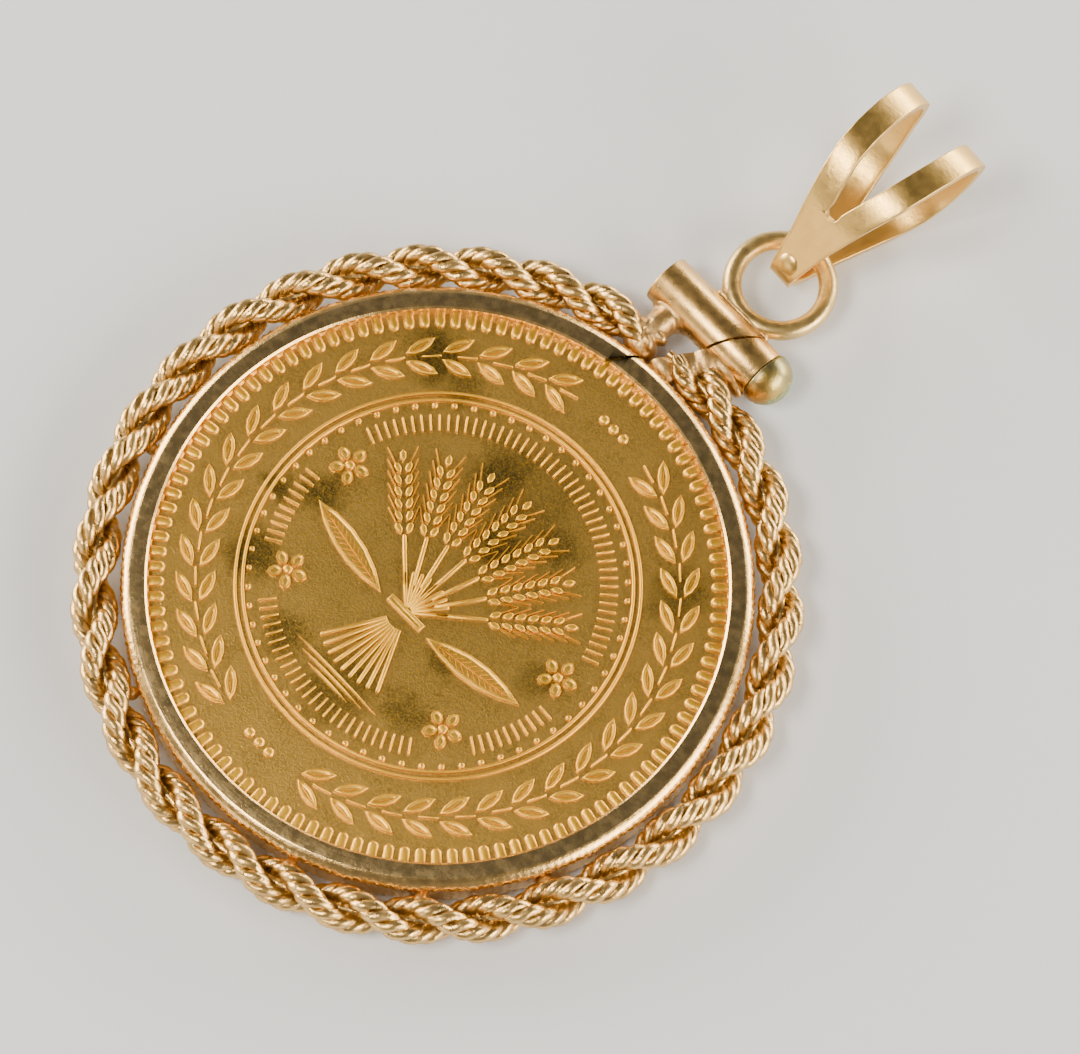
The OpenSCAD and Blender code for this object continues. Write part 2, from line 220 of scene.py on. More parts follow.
def sweep(bm: bmesh.types.BMesh, stations: Sequence[Matrix], sides: int) -> None:
    """Skin a round tube over stations, and close both ends.

    Args:
        bm: The mesh that takes the tube.
        stations: Each one turns, scales and moves the unit circle to its place.
        sides: Sides of the tube.
    """
    rows = len(stations) - 1
    verts = bmesh.ops.create_grid(bm, x_segments=rows, y_segments=sides, size=0.5)["verts"]
    for vert in verts:
        row, side = round((vert.co.x + 0.5) * rows), round((vert.co.y + 0.5) * sides)
        vert.co = stations[row] @ polar(1.0, FULL_TURN * side / sides)
    bmesh.ops.remove_doubles(bm, verts=[v for v in verts if v.is_boundary], dist=1e-4)
    bmesh.ops.holes_fill(bm, edges=[e for e in bm.edges if e.is_boundary], sides=sides)


def station(at: Vector, along: Vector, outward: Vector, radius: float) -> Matrix:
    """Give the matrix that puts the unit circle across a path.

    Args:
        at: The path's point.
        along: The path's direction.
        outward: Roughly where the circle's X axis points.
        radius: The circle's radius there.

    Returns:
        The station's matrix.
    """
    ahead = along.normalized()
    first = (outward - ahead * outward.dot(ahead)).normalized()
    second = ahead.cross(first)
    turn = Matrix((first, second, ahead)).transposed().to_4x4()
    return Matrix.Translation(at) @ turn @ Matrix.Diagonal((radius, radius, 1.0, 1.0))


def new_mesh(bm: bmesh.types.BMesh, name: str) -> bpy.types.Mesh:
    """Turn a bmesh into a mesh, and free it.

    Args:
        bm: The bmesh.
        name: The mesh's name.

    Returns:
        The mesh.
    """
    mesh = bpy.data.meshes.new(name)
    bm.to_mesh(mesh)
    bm.free()
    return mesh


def new_object(name: str, data: bpy.types.ID) -> bpy.types.Object:
    """Make an object and put it in the scene.

    Args:
        name: Its name.
        data: What it holds: a mesh, a light or a camera.

    Returns:
        The object.
    """
    made = bpy.data.objects.new(name, data)
    bpy.context.scene.collection.objects.link(made)
    return made


def fused(bm: bmesh.types.BMesh, cell: float, rounds: int) -> bmesh.types.BMesh:
    """Melt a mesh's shells into one skin and soften it.

    Args:
        bm: The mesh. It is freed.
        cell: Size of the skin's cells.
        rounds: Rounds of softening.

    Returns:
        The new mesh.
    """
    mesh = new_mesh(bm, "fused")
    holder = new_object("fused", mesh)
    skin = holder.modifiers.new("skin", "REMESH")
    skin.mode = "VOXEL"
    skin.voxel_size = cell
    holder.modifiers.new("soft", "SMOOTH").iterations = rounds
    melted = bmesh.new()
    melted.from_object(holder, bpy.context.evaluated_depsgraph_get())
    bpy.data.objects.remove(holder)
    bpy.data.meshes.remove(mesh)
    return melted


@dataclass
class Die:
    """Outlines to strike into the coin, sorted by how they rise off the field."""

    base: float
    shapes: dict[Steps, list[list[Vector]]] = field(default_factory=dict)

    def add(self, steps: Steps, outline: Iterable[Vector], at: Vector, degrees: float = 0.0) -> None:
        """Add an outline, turned by an angle and moved.

        Args:
            steps: How it rises: insets, each with its lift.
            outline: Its points.
            at: Where it goes.
            degrees: How far it turns.
        """
        turn = Matrix.Rotation(math.radians(degrees), 2)
        self.shapes.setdefault(steps, []).append([at.to_2d() + turn @ p for p in outline])

    def strike(self) -> bmesh.types.BMesh:
        """Raise every outline off the field.

        Returns:
            The mesh of the raised outlines.
        """
        bm = bmesh.new()
        for steps, outlines in self.shapes.items():
            tops = []
            for outline in outlines:
                tops.append(bm.faces.new([bm.verts.new((p.x, p.y, self.base)) for p in outline]))
                tops[-1].normal_update()
            for inset, lift in steps:
                bmesh.ops.inset_individual(bm, faces=tops, thickness=inset, depth=lift, use_even_offset=True)
        return bm


def shade_smooth(mesh: bpy.types.Mesh, sharp_degrees: float) -> None:
    """Shade a mesh smooth, apart from edges sharper than an angle."""
    mesh.shade_smooth()
    mesh.set_sharp_from_angle(angle=math.radians(sharp_degrees))


# Materials


class FinishSheet:
    """A material's nodes, with short calls for the ones that these finishes use."""

    def __init__(self, name: str) -> None:
        """Start a material with a Principled shader that reads Object coordinates.

        Args:
            name: The material's name.
        """
        self.material = bpy.data.materials.new(name)
        self.material.use_nodes = True
        self.tree = self.material.node_tree
        self.shader = self.tree.nodes["Principled BSDF"]
        self.place = self.tree.nodes.new("ShaderNodeTexCoord").outputs["Object"]

    def node(
        self, kind: str, feeds: dict[str | int, Socket | float | Sequence[float]], **settings: str
    ) -> bpy.types.bpy_prop_collection:
        """Add a node.

        Args:
            kind: Its type, without "ShaderNode" in front.
            feeds: What each of its sockets gets: another node's output, or a constant.
            settings: The node's own settings.

        Returns:
            The node's outputs.
        """
        node = self.tree.nodes.new(f"ShaderNode{kind}")
        for name, value in settings.items():
            setattr(node, name, value)
        for name, value in feeds.items():
            if isinstance(value, Socket):
                self.tree.links.new(value, node.inputs[name])
            else:
                node.inputs[name].default_value = value
        return node.outputs

    def stretched(self, scale: Triple) -> Socket:
        """Give Object coordinates, scaled along each axis."""
        return self.node("Mapping", {"Vector": self.place, "Scale": scale})["Vector"]

    def noise(
        self, size: float, detail: float = 3.0, place: Socket | None = None, output: str = "Fac"
    ) -> Socket:
        """Give a noise whose features are about size millimetres wide, from 0 to 1."""
        feeds = {"Scale": 1 / (size * MM), "Detail": detail, "Vector": place or self.place}
        return self.node("TexNoise", feeds)[output]

    def attribute(self, name: str) -> Socket:
        """Read a value that the piece's mesh carries."""
        return self.node("Attribute", {}, attribute_name=name)["Fac"]

    def ranged(
        self, value: Socket, low: float, high: float, to_low: float = 0.0, to_high: float = 1.0
    ) -> Socket:
        """Map low to high of a value onto to_low to to_high, and hold it there."""
        feeds = {"Value": value, "From Min": low, "From Max": high, "To Min": to_low, "To Max": to_high}
        return self.node("MapRange", feeds)["Result"]

    def math(self, kind: str, a: Socket, b: Socket | float) -> Socket:
        """Join two values with a Math node."""
        return self.node("Math", {0: a, 1: b}, operation=kind)[0]

    def axes(self) -> tuple[Socket, ...]:
        """Split the Object coordinates into X, Y and Z."""
        return tuple(self.node("SeparateXYZ", {0: self.place}))

    def vectors(self, kind: str, a: Socket, b: Socket | Vector, output: str = "Vector") -> Socket:
        """Join two vectors with a Vector Math node."""
        return self.node("VectorMath", {0: a, 1: b}, operation=kind)[output]

    def off_axis(self, place: Socket, at: Vector) -> Socket:
        """Give how far coordinates are from a point, seen from above."""
        return self.vectors("DISTANCE", self.vectors("MULTIPLY", place, FLAT), at * FLAT, "Value")

    def along(self, centre: Vector, direction: Vector) -> Socket:
        """Give the distance from a centre along a direction, in metres."""
        offset = self.vectors("SUBTRACT", self.place, centre)
        return self.vectors("DOT_PRODUCT", offset, direction.normalized(), "Value")

    def spots(self, centre: Vector, spots: Iterable["Spot"], ragged: float, lump: float) -> Socket:
        """Give a mask of ragged spots.

        Args:
            centre: The coin's centre in the frame.
            spots: The spots, in millimetres from it.
            ragged: How far noise moves a spot's edge.
            lump: Size of that noise.

        Returns:
            The mask, from 0 to 1.
        """
        push = self.vectors("SUBTRACT", self.noise(lump, 4.0, output="Color"), Vector((0.5, 0.5, 0.5)))
        moved = self.vectors("ADD", self.place, self.vectors("MULTIPLY", push, FLAT * ragged * MM))
        mask = None
        for spot in spots:
            distance = self.off_axis(moved, centre + Vector((spot.x, spot.y, 0)) * MM)
            one = self.ranged(distance, spot.radius * spot.core * MM, spot.radius * MM, spot.strength, 0.0)
            mask = self.math("MAXIMUM", mask, one) if mask else one
        return mask

    def around(self, centre: Vector, stretch: float) -> Socket:
        """Give coordinates that run round the coin's axis, shrunk along the run by stretch.

        Args:
            centre: The coin's centre in the frame.
            stretch: How many times the run is shrunk.

        Returns:
            The coordinates: along the run, out from the axis, and up.
        """
        x, y, z = self.axes()
        x, y = self.math("SUBTRACT", x, centre.x), self.math("SUBTRACT", y, centre.y)
        turn = self.math("MULTIPLY", self.math("ARCTAN2", y, x), RUN_RADIUS * MM / stretch)
        square = self.math("ADD", self.math("MULTIPLY", x, x), self.math("MULTIPLY", y, y))
        return self.node("CombineXYZ", {0: turn, 1: self.math("POWER", square, 0.5), 2: z})[0]

    def mixed(self, share: Socket, a: Colour | Socket, b: Colour | Socket) -> Socket:
        """Mix two colours by a share."""
        a, b = ((*colour, 1.0) if isinstance(colour, tuple) else colour for colour in (a, b))
        return self.node("Mix", {0: share, 6: a, 7: b}, data_type="RGBA")[2]

    def bump(self, height: Socket, depth: float, after: Socket | None = None) -> Socket:
        """Bump the surface by a height of depth millimetres, on top of an earlier bump."""
        feeds = {"Distance": depth * MM, "Height": height} | ({"Normal": after} if after else {})
        return self.node("Bump", feeds)["Normal"]

    def dress(self, colour: Socket, roughness: Socket, normal: Socket) -> bpy.types.Material:
        """Join the finish to the shader, as a metal.

        Args:
            colour: The base colour.
            roughness: The roughness.
            normal: The bumped normal.

        Returns:
            The finished material.
        """
        self.shader.inputs["Metallic"].default_value = 1.0
        for name, value in (("Base Color", colour), ("Roughness", roughness), ("Normal", normal)):
            self.tree.links.new(value, self.shader.inputs[name])
        return self.material


@dataclass(frozen=True)
class Spot:
    """A stain on the coin, in millimetres from its centre."""

    x: float
    y: float
    radius: float
    strength: float = 1.0
    core: float = 0.35


@dataclass(frozen=True)
class StruckGold:
    """Fine gold of the coin: a speckled, stained field under brighter relief."""

    name: str = "fine_gold_struck"
    bright: Colour = (0.98, 0.61, 0.145)
    dull: Colour = (0.50, 0.31, 0.074)
    stain: Colour = (0.17, 0.125, 0.038)
    relief: Colour = (0.95, 0.54, 0.045)
    field_roughness: float = 0.36
    relief_roughness: float = 0.44
    speckle_size: float = 0.075
    fleck_size: float = 0.06
    cloud_size: float = 1.3
    grain_size: float = 0.045
    stain_lump: float = 0.9
    stain_ragged: float = 1.6
    stains: tuple[Spot, ...] = (
        Spot(0.0, 0.0, 8.4, 0.30),
        Spot(0.2, 4.5, 3.1, 0.62), Spot(-1.4, 4.6, 1.7), Spot(1.9, 4.2, 1.5, 0.8), Spot(0.5, 2.6, 1.4),
        Spot(-6.4, 5.9, 1.5), Spot(-4.9, 5.8, 1.1, 0.7), Spot(6.1, 6.1, 1.5, 0.75), Spot(-5.2, -0.8, 1.2),
        Spot(-5.3, -4.1, 1.3), Spot(-2.3, -5.3, 1.3, 0.8), Spot(0.4, -5.3, 2.0, 0.8),
        Spot(2.7, -4.2, 1.4, 0.8), Spot(2.2, -2.0, 1.0, 0.8), Spot(5.0, 0.1, 1.2, 0.7), Spot(-6.6, -1.7, 0.8),
    )

    def material(self, centre: Vector, field_z: float, relief_z: float) -> bpy.types.Material:
        """Make the material.

        Args:
            centre: The coin's centre in the frame.
            field_z: Height of the field, in millimetres.
            relief_z: Height of the relief's top.

        Returns:
            The material.
        """
        sheet = FinishSheet(self.name)
        height = sheet.ranged(sheet.axes()[2], (field_z + 0.02) * MM, relief_z * MM)
        speckle = sheet.ranged(sheet.noise(self.speckle_size, 2.0), 0.40, 0.60)
        cloud = sheet.ranged(sheet.noise(self.cloud_size, 4.0), 0.35, 0.70, 0.15, 0.75)
        fleck = sheet.ranged(sheet.noise(self.fleck_size, 1.0), 0.60, 0.70, 0.0, 0.9)
        stained = sheet.spots(centre, self.stains, self.stain_ragged, self.stain_lump)
        worn = sheet.mixed(sheet.math("MULTIPLY", cloud, speckle), self.bright, self.dull)
        dotted = sheet.math("MULTIPLY", stained, sheet.ranged(speckle, 0, 1, 0.75, 1.0))
        worn = sheet.mixed(fleck, sheet.mixed(dotted, worn, self.stain), self.relief)
        colour = sheet.mixed(height, worn, self.relief)
        roughness = sheet.ranged(height, 0, 1, self.field_roughness, self.relief_roughness)
        normal = sheet.bump(speckle, 0.003)
        normal = sheet.bump(sheet.noise(self.grain_size, 2.0), 0.005, normal)
        return sheet.dress(colour, roughness, normal)


@dataclass(frozen=True)
class WornGold:
    """Carat gold with a satin skin, fine scratches, soft dents, a thin brown film and painted shade where the
    mesh marks it.
    """

    name: str
    colour: Colour
    film_colour: Colour
    film: Pair = (0.50, 0.72)
    film_size: float = 0.8
    speck_size: float = 0.10
    streak_size: float = 0.09
    roughness: Pair = (0.26, 0.38)
    scratch_depth: float = 0.004
    scratch_size: float = 0.06
    scratch_stretch: Triple = (1.0, 0.08, 1.0)
    turned: float = 0.0
    # Radii that hold the film: on the rim partly real tarnish and partly painted shade on the flat lip.
    film_and_shade_band: Pair | None = None
    film_fade: float = 0.03
    film_roughness: float = 0.14
    # colour of the painted shade that the mesh marks in crevices or a cut
    painted_shade: Colour | None = None
    patch_size: float = 0.35
    grain_size: float = 0.12
    grain_depth: float = 0.008
    dent_depth: float = 0.010
    dent_size: float = 0.5

    def material(self, centre: Vector) -> bpy.types.Material:
        """Make the material.

        Args:
            centre: The coin's centre in the frame, for scratches that run round it.

        Returns:
            The material.
        """
        sheet = FinishSheet(self.name)
        film = sheet.ranged(sheet.noise(self.film_size, 4.0), *self.film)
        run = sheet.around(centre, self.turned) if self.turned else sheet.stretched(self.scratch_stretch)
        specks = sheet.ranged(sheet.noise(self.speck_size), 0.35, 0.65, 0.35, 1.0)
        streaks = sheet.ranged(sheet.noise(self.streak_size, place=run), 0.35, 0.65, 0.6, 1.0)
        film = sheet.math("MULTIPLY", sheet.math("MULTIPLY", film, specks), streaks)
        # Holding the film to a band of radii paints shade on the rim's flat lip, on top of its real mottled
        # tarnish.
        if self.film_and_shade_band:
            radius = sheet.off_axis(sheet.place, centre)
            for edge, fade in zip(self.film_and_shade_band, (self.film_fade, -self.film_fade)):
                inside = sheet.ranged(radius, (edge - fade) * MM, (edge + fade) * MM)
                film = sheet.math("MULTIPLY", film, inside)
        colour = sheet.mixed(film, self.colour, self.film_colour)
        # painted shade: a darker colour where the mesh marks crevices or the saw cut
        if self.painted_shade:
            colour = sheet.mixed(sheet.attribute(PAINTED_SHADE), colour, self.painted_shade)
        roughness = sheet.ranged(sheet.noise(self.patch_size), 0.3, 0.7, *self.roughness)
        roughness = sheet.math("ADD", roughness, sheet.math("MULTIPLY", film, self.film_roughness))
        normal = sheet.bump(sheet.noise(self.scratch_size, 2.0, run), self.scratch_depth)
        normal = sheet.bump(sheet.noise(self.grain_size), self.grain_depth, normal)
        normal = sheet.bump(sheet.noise(self.dent_size, 2.0), self.dent_depth, normal)
        return sheet.dress(colour, roughness, normal)


WORN_GOLDS = (
    WornGold(
        "satin_gold_tube", (0.84, 0.54, 0.20), (0.46, 0.28, 0.09), film=(0.74, 0.95),
        roughness=(0.25, 0.35), grain_depth=0.006, dent_depth=0.003,
    ),
    # Rim: the film band keeps the darker olive film on the flat lip, partly real tarnish and partly painted
    # shade, as the flat lies darker than the bright bevels; the near-black colour at the end paints shade
    # into the saw cut.
    WornGold(
        "turned_gold_rim", (0.88, 0.58, 0.22), (0.60, 0.475, 0.27), film=(0.08, 0.42), film_size=0.45,
        roughness=(0.20, 0.30), turned=30.0, scratch_depth=0.005, grain_depth=0.007, dent_depth=0.004,
        film_and_shade_band=(10.61, 11.11), film_roughness=0.03, painted_shade=(0.05, 0.035, 0.02),
    ),
    WornGold(
        "satin_gold_ring", (0.78, 0.56, 0.23), (0.42, 0.30, 0.11), roughness=(0.28, 0.40),
        grain_depth=0.010,
    ),
    # Rope: its darker brown at the end is painted shade in the valleys between wires and strands.
    WornGold(
        "cast_gold_rope", (0.86, 0.57, 0.22), (0.46, 0.30, 0.11), film=(0.52, 0.78), roughness=(0.25, 0.36),
        grain_depth=0.018, dent_depth=0.022, dent_size=0.32, painted_shade=(0.40, 0.27, 0.11),
    ),
    WornGold(
        "satin_gold_bail", (0.83, 0.55, 0.175), (0.58, 0.38, 0.12), film=(0.6, 0.9), roughness=(0.28, 0.36),
        scratch_depth=0.005, grain_depth=0.006, dent_depth=0.004,
    ),
    WornGold(
        "satin_gold_solder", (0.72, 0.47, 0.20), (0.44, 0.28, 0.11), roughness=(0.36, 0.48),
        grain_depth=0.020, dent_depth=0.020, dent_size=0.3,
    ),
)


@dataclass(frozen=True)
class Patch:
    """A colour on one side of the screw's head.

    It starts and is full at two distances from the head's middle, in millimetres.
    """

    toward: Triple
    start: float
    full: float
    share: float
    colour: Colour


@dataclass(frozen=True)
class CrustedBrass:
    """The screw head's brass, with a grey band by the seam, a painted grey reflection on its upper right, a
    brown patch and a green crust along its lower edge.
    """

    name: str = "screw_brass_crusted"
    colour: Colour = (0.60, 0.43, 0.115)
    patches_and_reflection: tuple[Patch, ...] = (
        # painted reflection: this grey on the dome's upper right stands in for a reflection there
        Patch((0.45, 0.60, 0.40), 0.45, 0.85, 0.65, (0.30, 0.29, 0.16)),
        Patch((-0.1, -1.0, 0.2), 0.30, 0.70, 0.9, (0.50, 0.29, 0.09)),
        Patch((-1.0, 0.30, 0.0), -0.42, -0.18, 0.75, (0.30, 0.29, 0.16)),
    )
    crust: Patch = Patch((0.75, 0.0, -0.66), 0.46, 0.58, 1.0, (0.30, 0.34, 0.19))
    ragged: float = 0.35
    roughness: Pair = (0.34, 0.85)
    crust_metal: float = 0.15
    crust_size: float = 0.14
    crust_depth: float = 0.14
    grain_size: float = 0.12
    grain_depth: float = 0.012

    def material(self, head: Vector) -> bpy.types.Material:
        """Make the material.

        Args:
            head: The middle of the head's flat side in the frame.

        Returns:
            The material.
        """
        sheet = FinishSheet(self.name)
        ragged = sheet.ranged(sheet.noise(self.ragged, 4.0), 0.0, 1.0, -self.ragged * MM, self.ragged * MM)
        colour = self.colour
        for patch in (*self.patches_and_reflection, self.crust):
            along = sheet.math("ADD", sheet.along(head, Vector(patch.toward)), ragged)
            share = sheet.ranged(along, patch.start * MM, patch.full * MM, 0.0, patch.share)
            colour = sheet.mixed(share, colour, patch.colour)
        roughness = sheet.ranged(share, 0, 1, *self.roughness)
        normal = sheet.bump(sheet.noise(self.grain_size), self.grain_depth)
        rough = sheet.math("MULTIPLY", sheet.noise(self.crust_size, 4.0), share)
        material = sheet.dress(colour, roughness, sheet.bump(rough, self.crust_depth, normal))
        metal = sheet.ranged(share, 0, 1, 1.0, self.crust_metal)
        sheet.tree.links.new(metal, sheet.shader.inputs["Metallic"])
        return material


# The bench: from a shaped mesh to a piece


@dataclass
class Bench:
    """Puts finished meshes in their place in the frame."""

    centre: Vector
    count: int = 0

    def set_down(
        self,
        bm: bmesh.types.BMesh,
        name: str,
        material: bpy.types.Material,
        slot: Slot,
        replaces: Sequence[str] = (),
        sharp_degrees: float = 35.0,
    ) -> None:
        """Turn a mesh into a piece of the pendant.

        Args:
            bm: The mesh, in millimetres from the coin's centre. It is freed.
            name: The piece's name.
            material: Its finish.
            slot: The record's slot for it. Not used.
            replaces: The solids that it stands for.
            sharp_degrees: Edges sharper than this stay sharp.
        """
        to_frame = Matrix.Translation(self.centre) @ Matrix.Scale(MM, 4)
        bmesh.ops.transform(bm, matrix=to_frame, verts=bm.verts[:])
        mesh = new_mesh(bm, name)
        shade_smooth(mesh, sharp_degrees)
        mesh.materials.append(material)
        piece = new_object(name, mesh)
        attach(piece, "root")
        if replaces:
            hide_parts(*replaces)
        self.count += 1
        LOG.info("piece %d: %s, %d faces", self.count, name, len(mesh.polygons))


# The coin


@dataclass
class Coin:
    """The struck coin, with a wheat sheaf in a laurel wreath on its face."""

    radius: float = 11.0
    edge_w: float = 0.45
    edge_slope: float = 0.1
    back_z: float = 0.28
    front_z: float = 1.62
    field_depth: float = 0.15
    relief_h: float = 0.13
    sunk: float = 0.03
    round_off: float = 0.05
    steps: int = 256
    denticles: int = 112
    denticle_len: float = 0.92
    denticle_w: float = 0.42
    wreath_r: float = 8.75
    wreath_pairs: int = 18
    wreath_gap: float = 12.0
    laurel_len: float = 1.3
    laurel_w: float = 0.46
    laurel_lean: float = 27.0
    laurel_out: float = 0.42
    laurel_line: Pair = (0.11, 0.05)
    ring_r: float = 7.33
    ring_w: float = 0.14
    ring_step: float = 0.27
    ring_soft: float = 0.03
    beads: int = 60
    bead_d: float = 0.26
    bead_steps: Steps = ((0.01, 0.08), (0.035, 0.05), (0.04, 0.015))
    dome: Steps = ((0.06, 0.45), (0.14, 0.27), (0.2, 0.17), (0.25, 0.09), (0.2, 0.02))
    foot: float = 0.004
    stem_len: float = 0.75
    stem_w: float = 0.09
    vein_share: float = 0.8
    vein_w: float = 0.07
    dot_d: float = 0.42
    dot_step: float = 0.5
    finish: StruckGold = field(default_factory=StruckGold)

    @property
    def field_z(self) -> float:
        """Height of the front's field."""
        return self.front_z - self.field_depth

    def disc(self) -> bmesh.types.BMesh:
        """Spin the disc with its raised edge on both sides.

        Returns:
            The disc's mesh.
        """
        inner = self.radius - self.edge_w
        soft = self.round_off
        half = [
            (0.0, self.field_depth), (inner - self.edge_slope, self.field_depth), (inner, 0.0),
            (self.radius - soft, 0.0), (self.radius, soft),
        ]
        back = [(r, self.back_z + h) for r, h in half]
        front = [(r, self.front_z - h) for r, h in reversed(half)]
        return spin_profile(back + front, self.steps)

    def die(self) -> Die:
        """Start a die whose foot is a little below the field."""
        return Die(self.field_z - self.sunk)

    def ring_line(self, bm: bmesh.types.BMesh, radius: float) -> None:
        """Add a raised round line to the relief.

        Args:
            bm: The mesh that takes the line.
            radius: The line's middle.
        """
        half = self.ring_w / 2
        low, high = self.field_z - self.sunk, self.field_z + self.relief_h
        rise = [(-half, low), (-half * 0.8, high - self.ring_soft), (-half * 0.35, high)]
        fall = [(-x, z) for x, z in reversed(rise)]
        ring = spin_profile([(radius + x, z) for x, z in rise + fall], self.steps)
        mesh = new_mesh(ring, "ring_line")
        bm.from_mesh(mesh)
        bpy.data.meshes.remove(mesh)

    def domed(self, width: float) -> Steps:
        """Give the steps of a raised shape with a round section."""
        rise, half = self.relief_h + self.sunk, width / 2
        return tuple((half * inset, rise * lift) for inset, lift in self.dome)

    def outlined(self, line: float, dip: float) -> Steps:
        """Give the steps of a raised outline round a dipped middle.

        Args:
            line: Width of the line.
            dip: How far the middle lies below it.

        Returns:
            The steps.
        """
        rise = self.relief_h + self.sunk
        wall = (self.foot, rise * 0.7), (line * 0.3, rise * 0.3)
        return *wall, (line * 0.5, 0.0), (line * 0.5, -dip), (3 * self.foot, 0.0)

    def thread(self, width: float) -> Steps:
        """Give the steps of a thin raised line."""
        rise = self.relief_h + self.sunk
        return (self.foot, rise * 0.7), (width * 0.3, rise * 0.25)

    def edge_relief(self, die: Die) -> None:
        """Add the denticles that run in from the raised edge.

        Args:
            die: The die that takes them.
        """
        bar = bar_outline(self.denticle_len, self.denticle_w)
        for i in range(self.denticles):
            angle = FULL_TURN * (i + 0.5) / self.denticles
            at = polar(self.radius - self.edge_w / 2, angle)
            die.add(self.domed(self.denticle_w), bar, at, angle + 180)

    def bead_ring(self, die: Die) -> None:
        """Add the ring of beads inside the ring lines.

        Args:
            die: The die that takes them.
        """
        radius = self.ring_r - 2 * self.ring_step + self.ring_w / 2
        bead = spot_outline(self.bead_d, 8)
        for i in range(self.beads):
            die.add(self.bead_steps, bead, polar(radius, FULL_TURN * i / self.beads))

    def wreath(self, die: Die) -> None:
        """Add two laurel branches that rise from the bottom to the top.

        Args:
            die: The die that takes them.
        """
        span = FULL_TURN / 2 - 2 * self.wreath_gap
        leaf = leaf_outline(self.laurel_len, self.laurel_w, 4)
        vein = leaf_outline(self.laurel_len * self.vein_share, self.vein_w, 3)
        stem = bar_outline(self.stem_len, self.stem_w, 3)
        for side in (-1, 1):
            for i in range(self.wreath_pairs):
                angle = -90 + side * (self.wreath_gap + span * (i + 0.5) / self.wreath_pairs)
                foot = polar(self.wreath_r, angle)
                die.add(self.thread(self.stem_w), stem, foot, angle + side * 90)
                for lean in (-1, 1):
                    at = polar(self.wreath_r + lean * self.laurel_out, angle)
                    turn = angle + side * (90 - lean * self.laurel_lean)
                    die.add(self.outlined(*self.laurel_line), leaf, at, turn)
                    die.add(self.thread(self.laurel_line[1]), vein, at, turn)
        dot = spot_outline(self.dot_d)
        for y, x in ((y, x) for y in (-1, 1) for x in (-1, 0, 1)):
            die.add(self.domed(self.dot_d), dot, Vector((x * self.dot_step, y * self.wreath_r)))

    def back_relief(self, bm: bmesh.types.BMesh) -> None:
        """Mirror the relief so far onto the back.

        Args:
            bm: The mesh of the relief, which takes the copy too.
        """
        middle = Matrix.Translation((0, 0, (self.back_z + self.front_z) / 2))
        mirror = middle @ Matrix.Scale(-1, 4, (0, 0, 1)) @ middle.inverted()
        copied = bmesh.ops.duplicate(bm, geom=bm.verts[:] + bm.edges[:] + bm.faces[:])["geom"]
        verts = [g for g in copied if isinstance(g, bmesh.types.BMVert)]
        faces = [g for g in copied if isinstance(g, bmesh.types.BMFace)]
        bmesh.ops.transform(bm, matrix=mirror, verts=verts)
        bmesh.ops.reverse_faces(bm, faces=faces)

    def build(self, bench: Bench) -> None:
        """Make the coin's disc and its relief.

        Args:
            bench: Where the pieces are set down.
        """
        gold = self.finish.material(bench.centre, self.field_z, self.field_z + self.relief_h)
        bench.set_down(self.disc(), "coin_disc", gold, Slot.COIN, ["coin"], 30.0)
        edge = self.die()
        self.edge_relief(edge)
        self.bead_ring(edge)
        border = edge.strike()
        self.ring_line(border, self.ring_r)
        self.ring_line(border, self.ring_r - self.ring_step)
        self.back_relief(border)
        bench.set_down(border, "coin_border", gold, Slot.COIN, sharp_degrees=ROUNDED)
        leaves = self.die()
        self.wreath(leaves)
        bench.set_down(leaves.strike(), "coin_wreath", gold, Slot.COIN, sharp_degrees=ROUNDED)
        bench.set_down(Sheaf(self).struck(), "coin_sheaf", gold, Slot.COIN, sharp_degrees=ROUNDED)


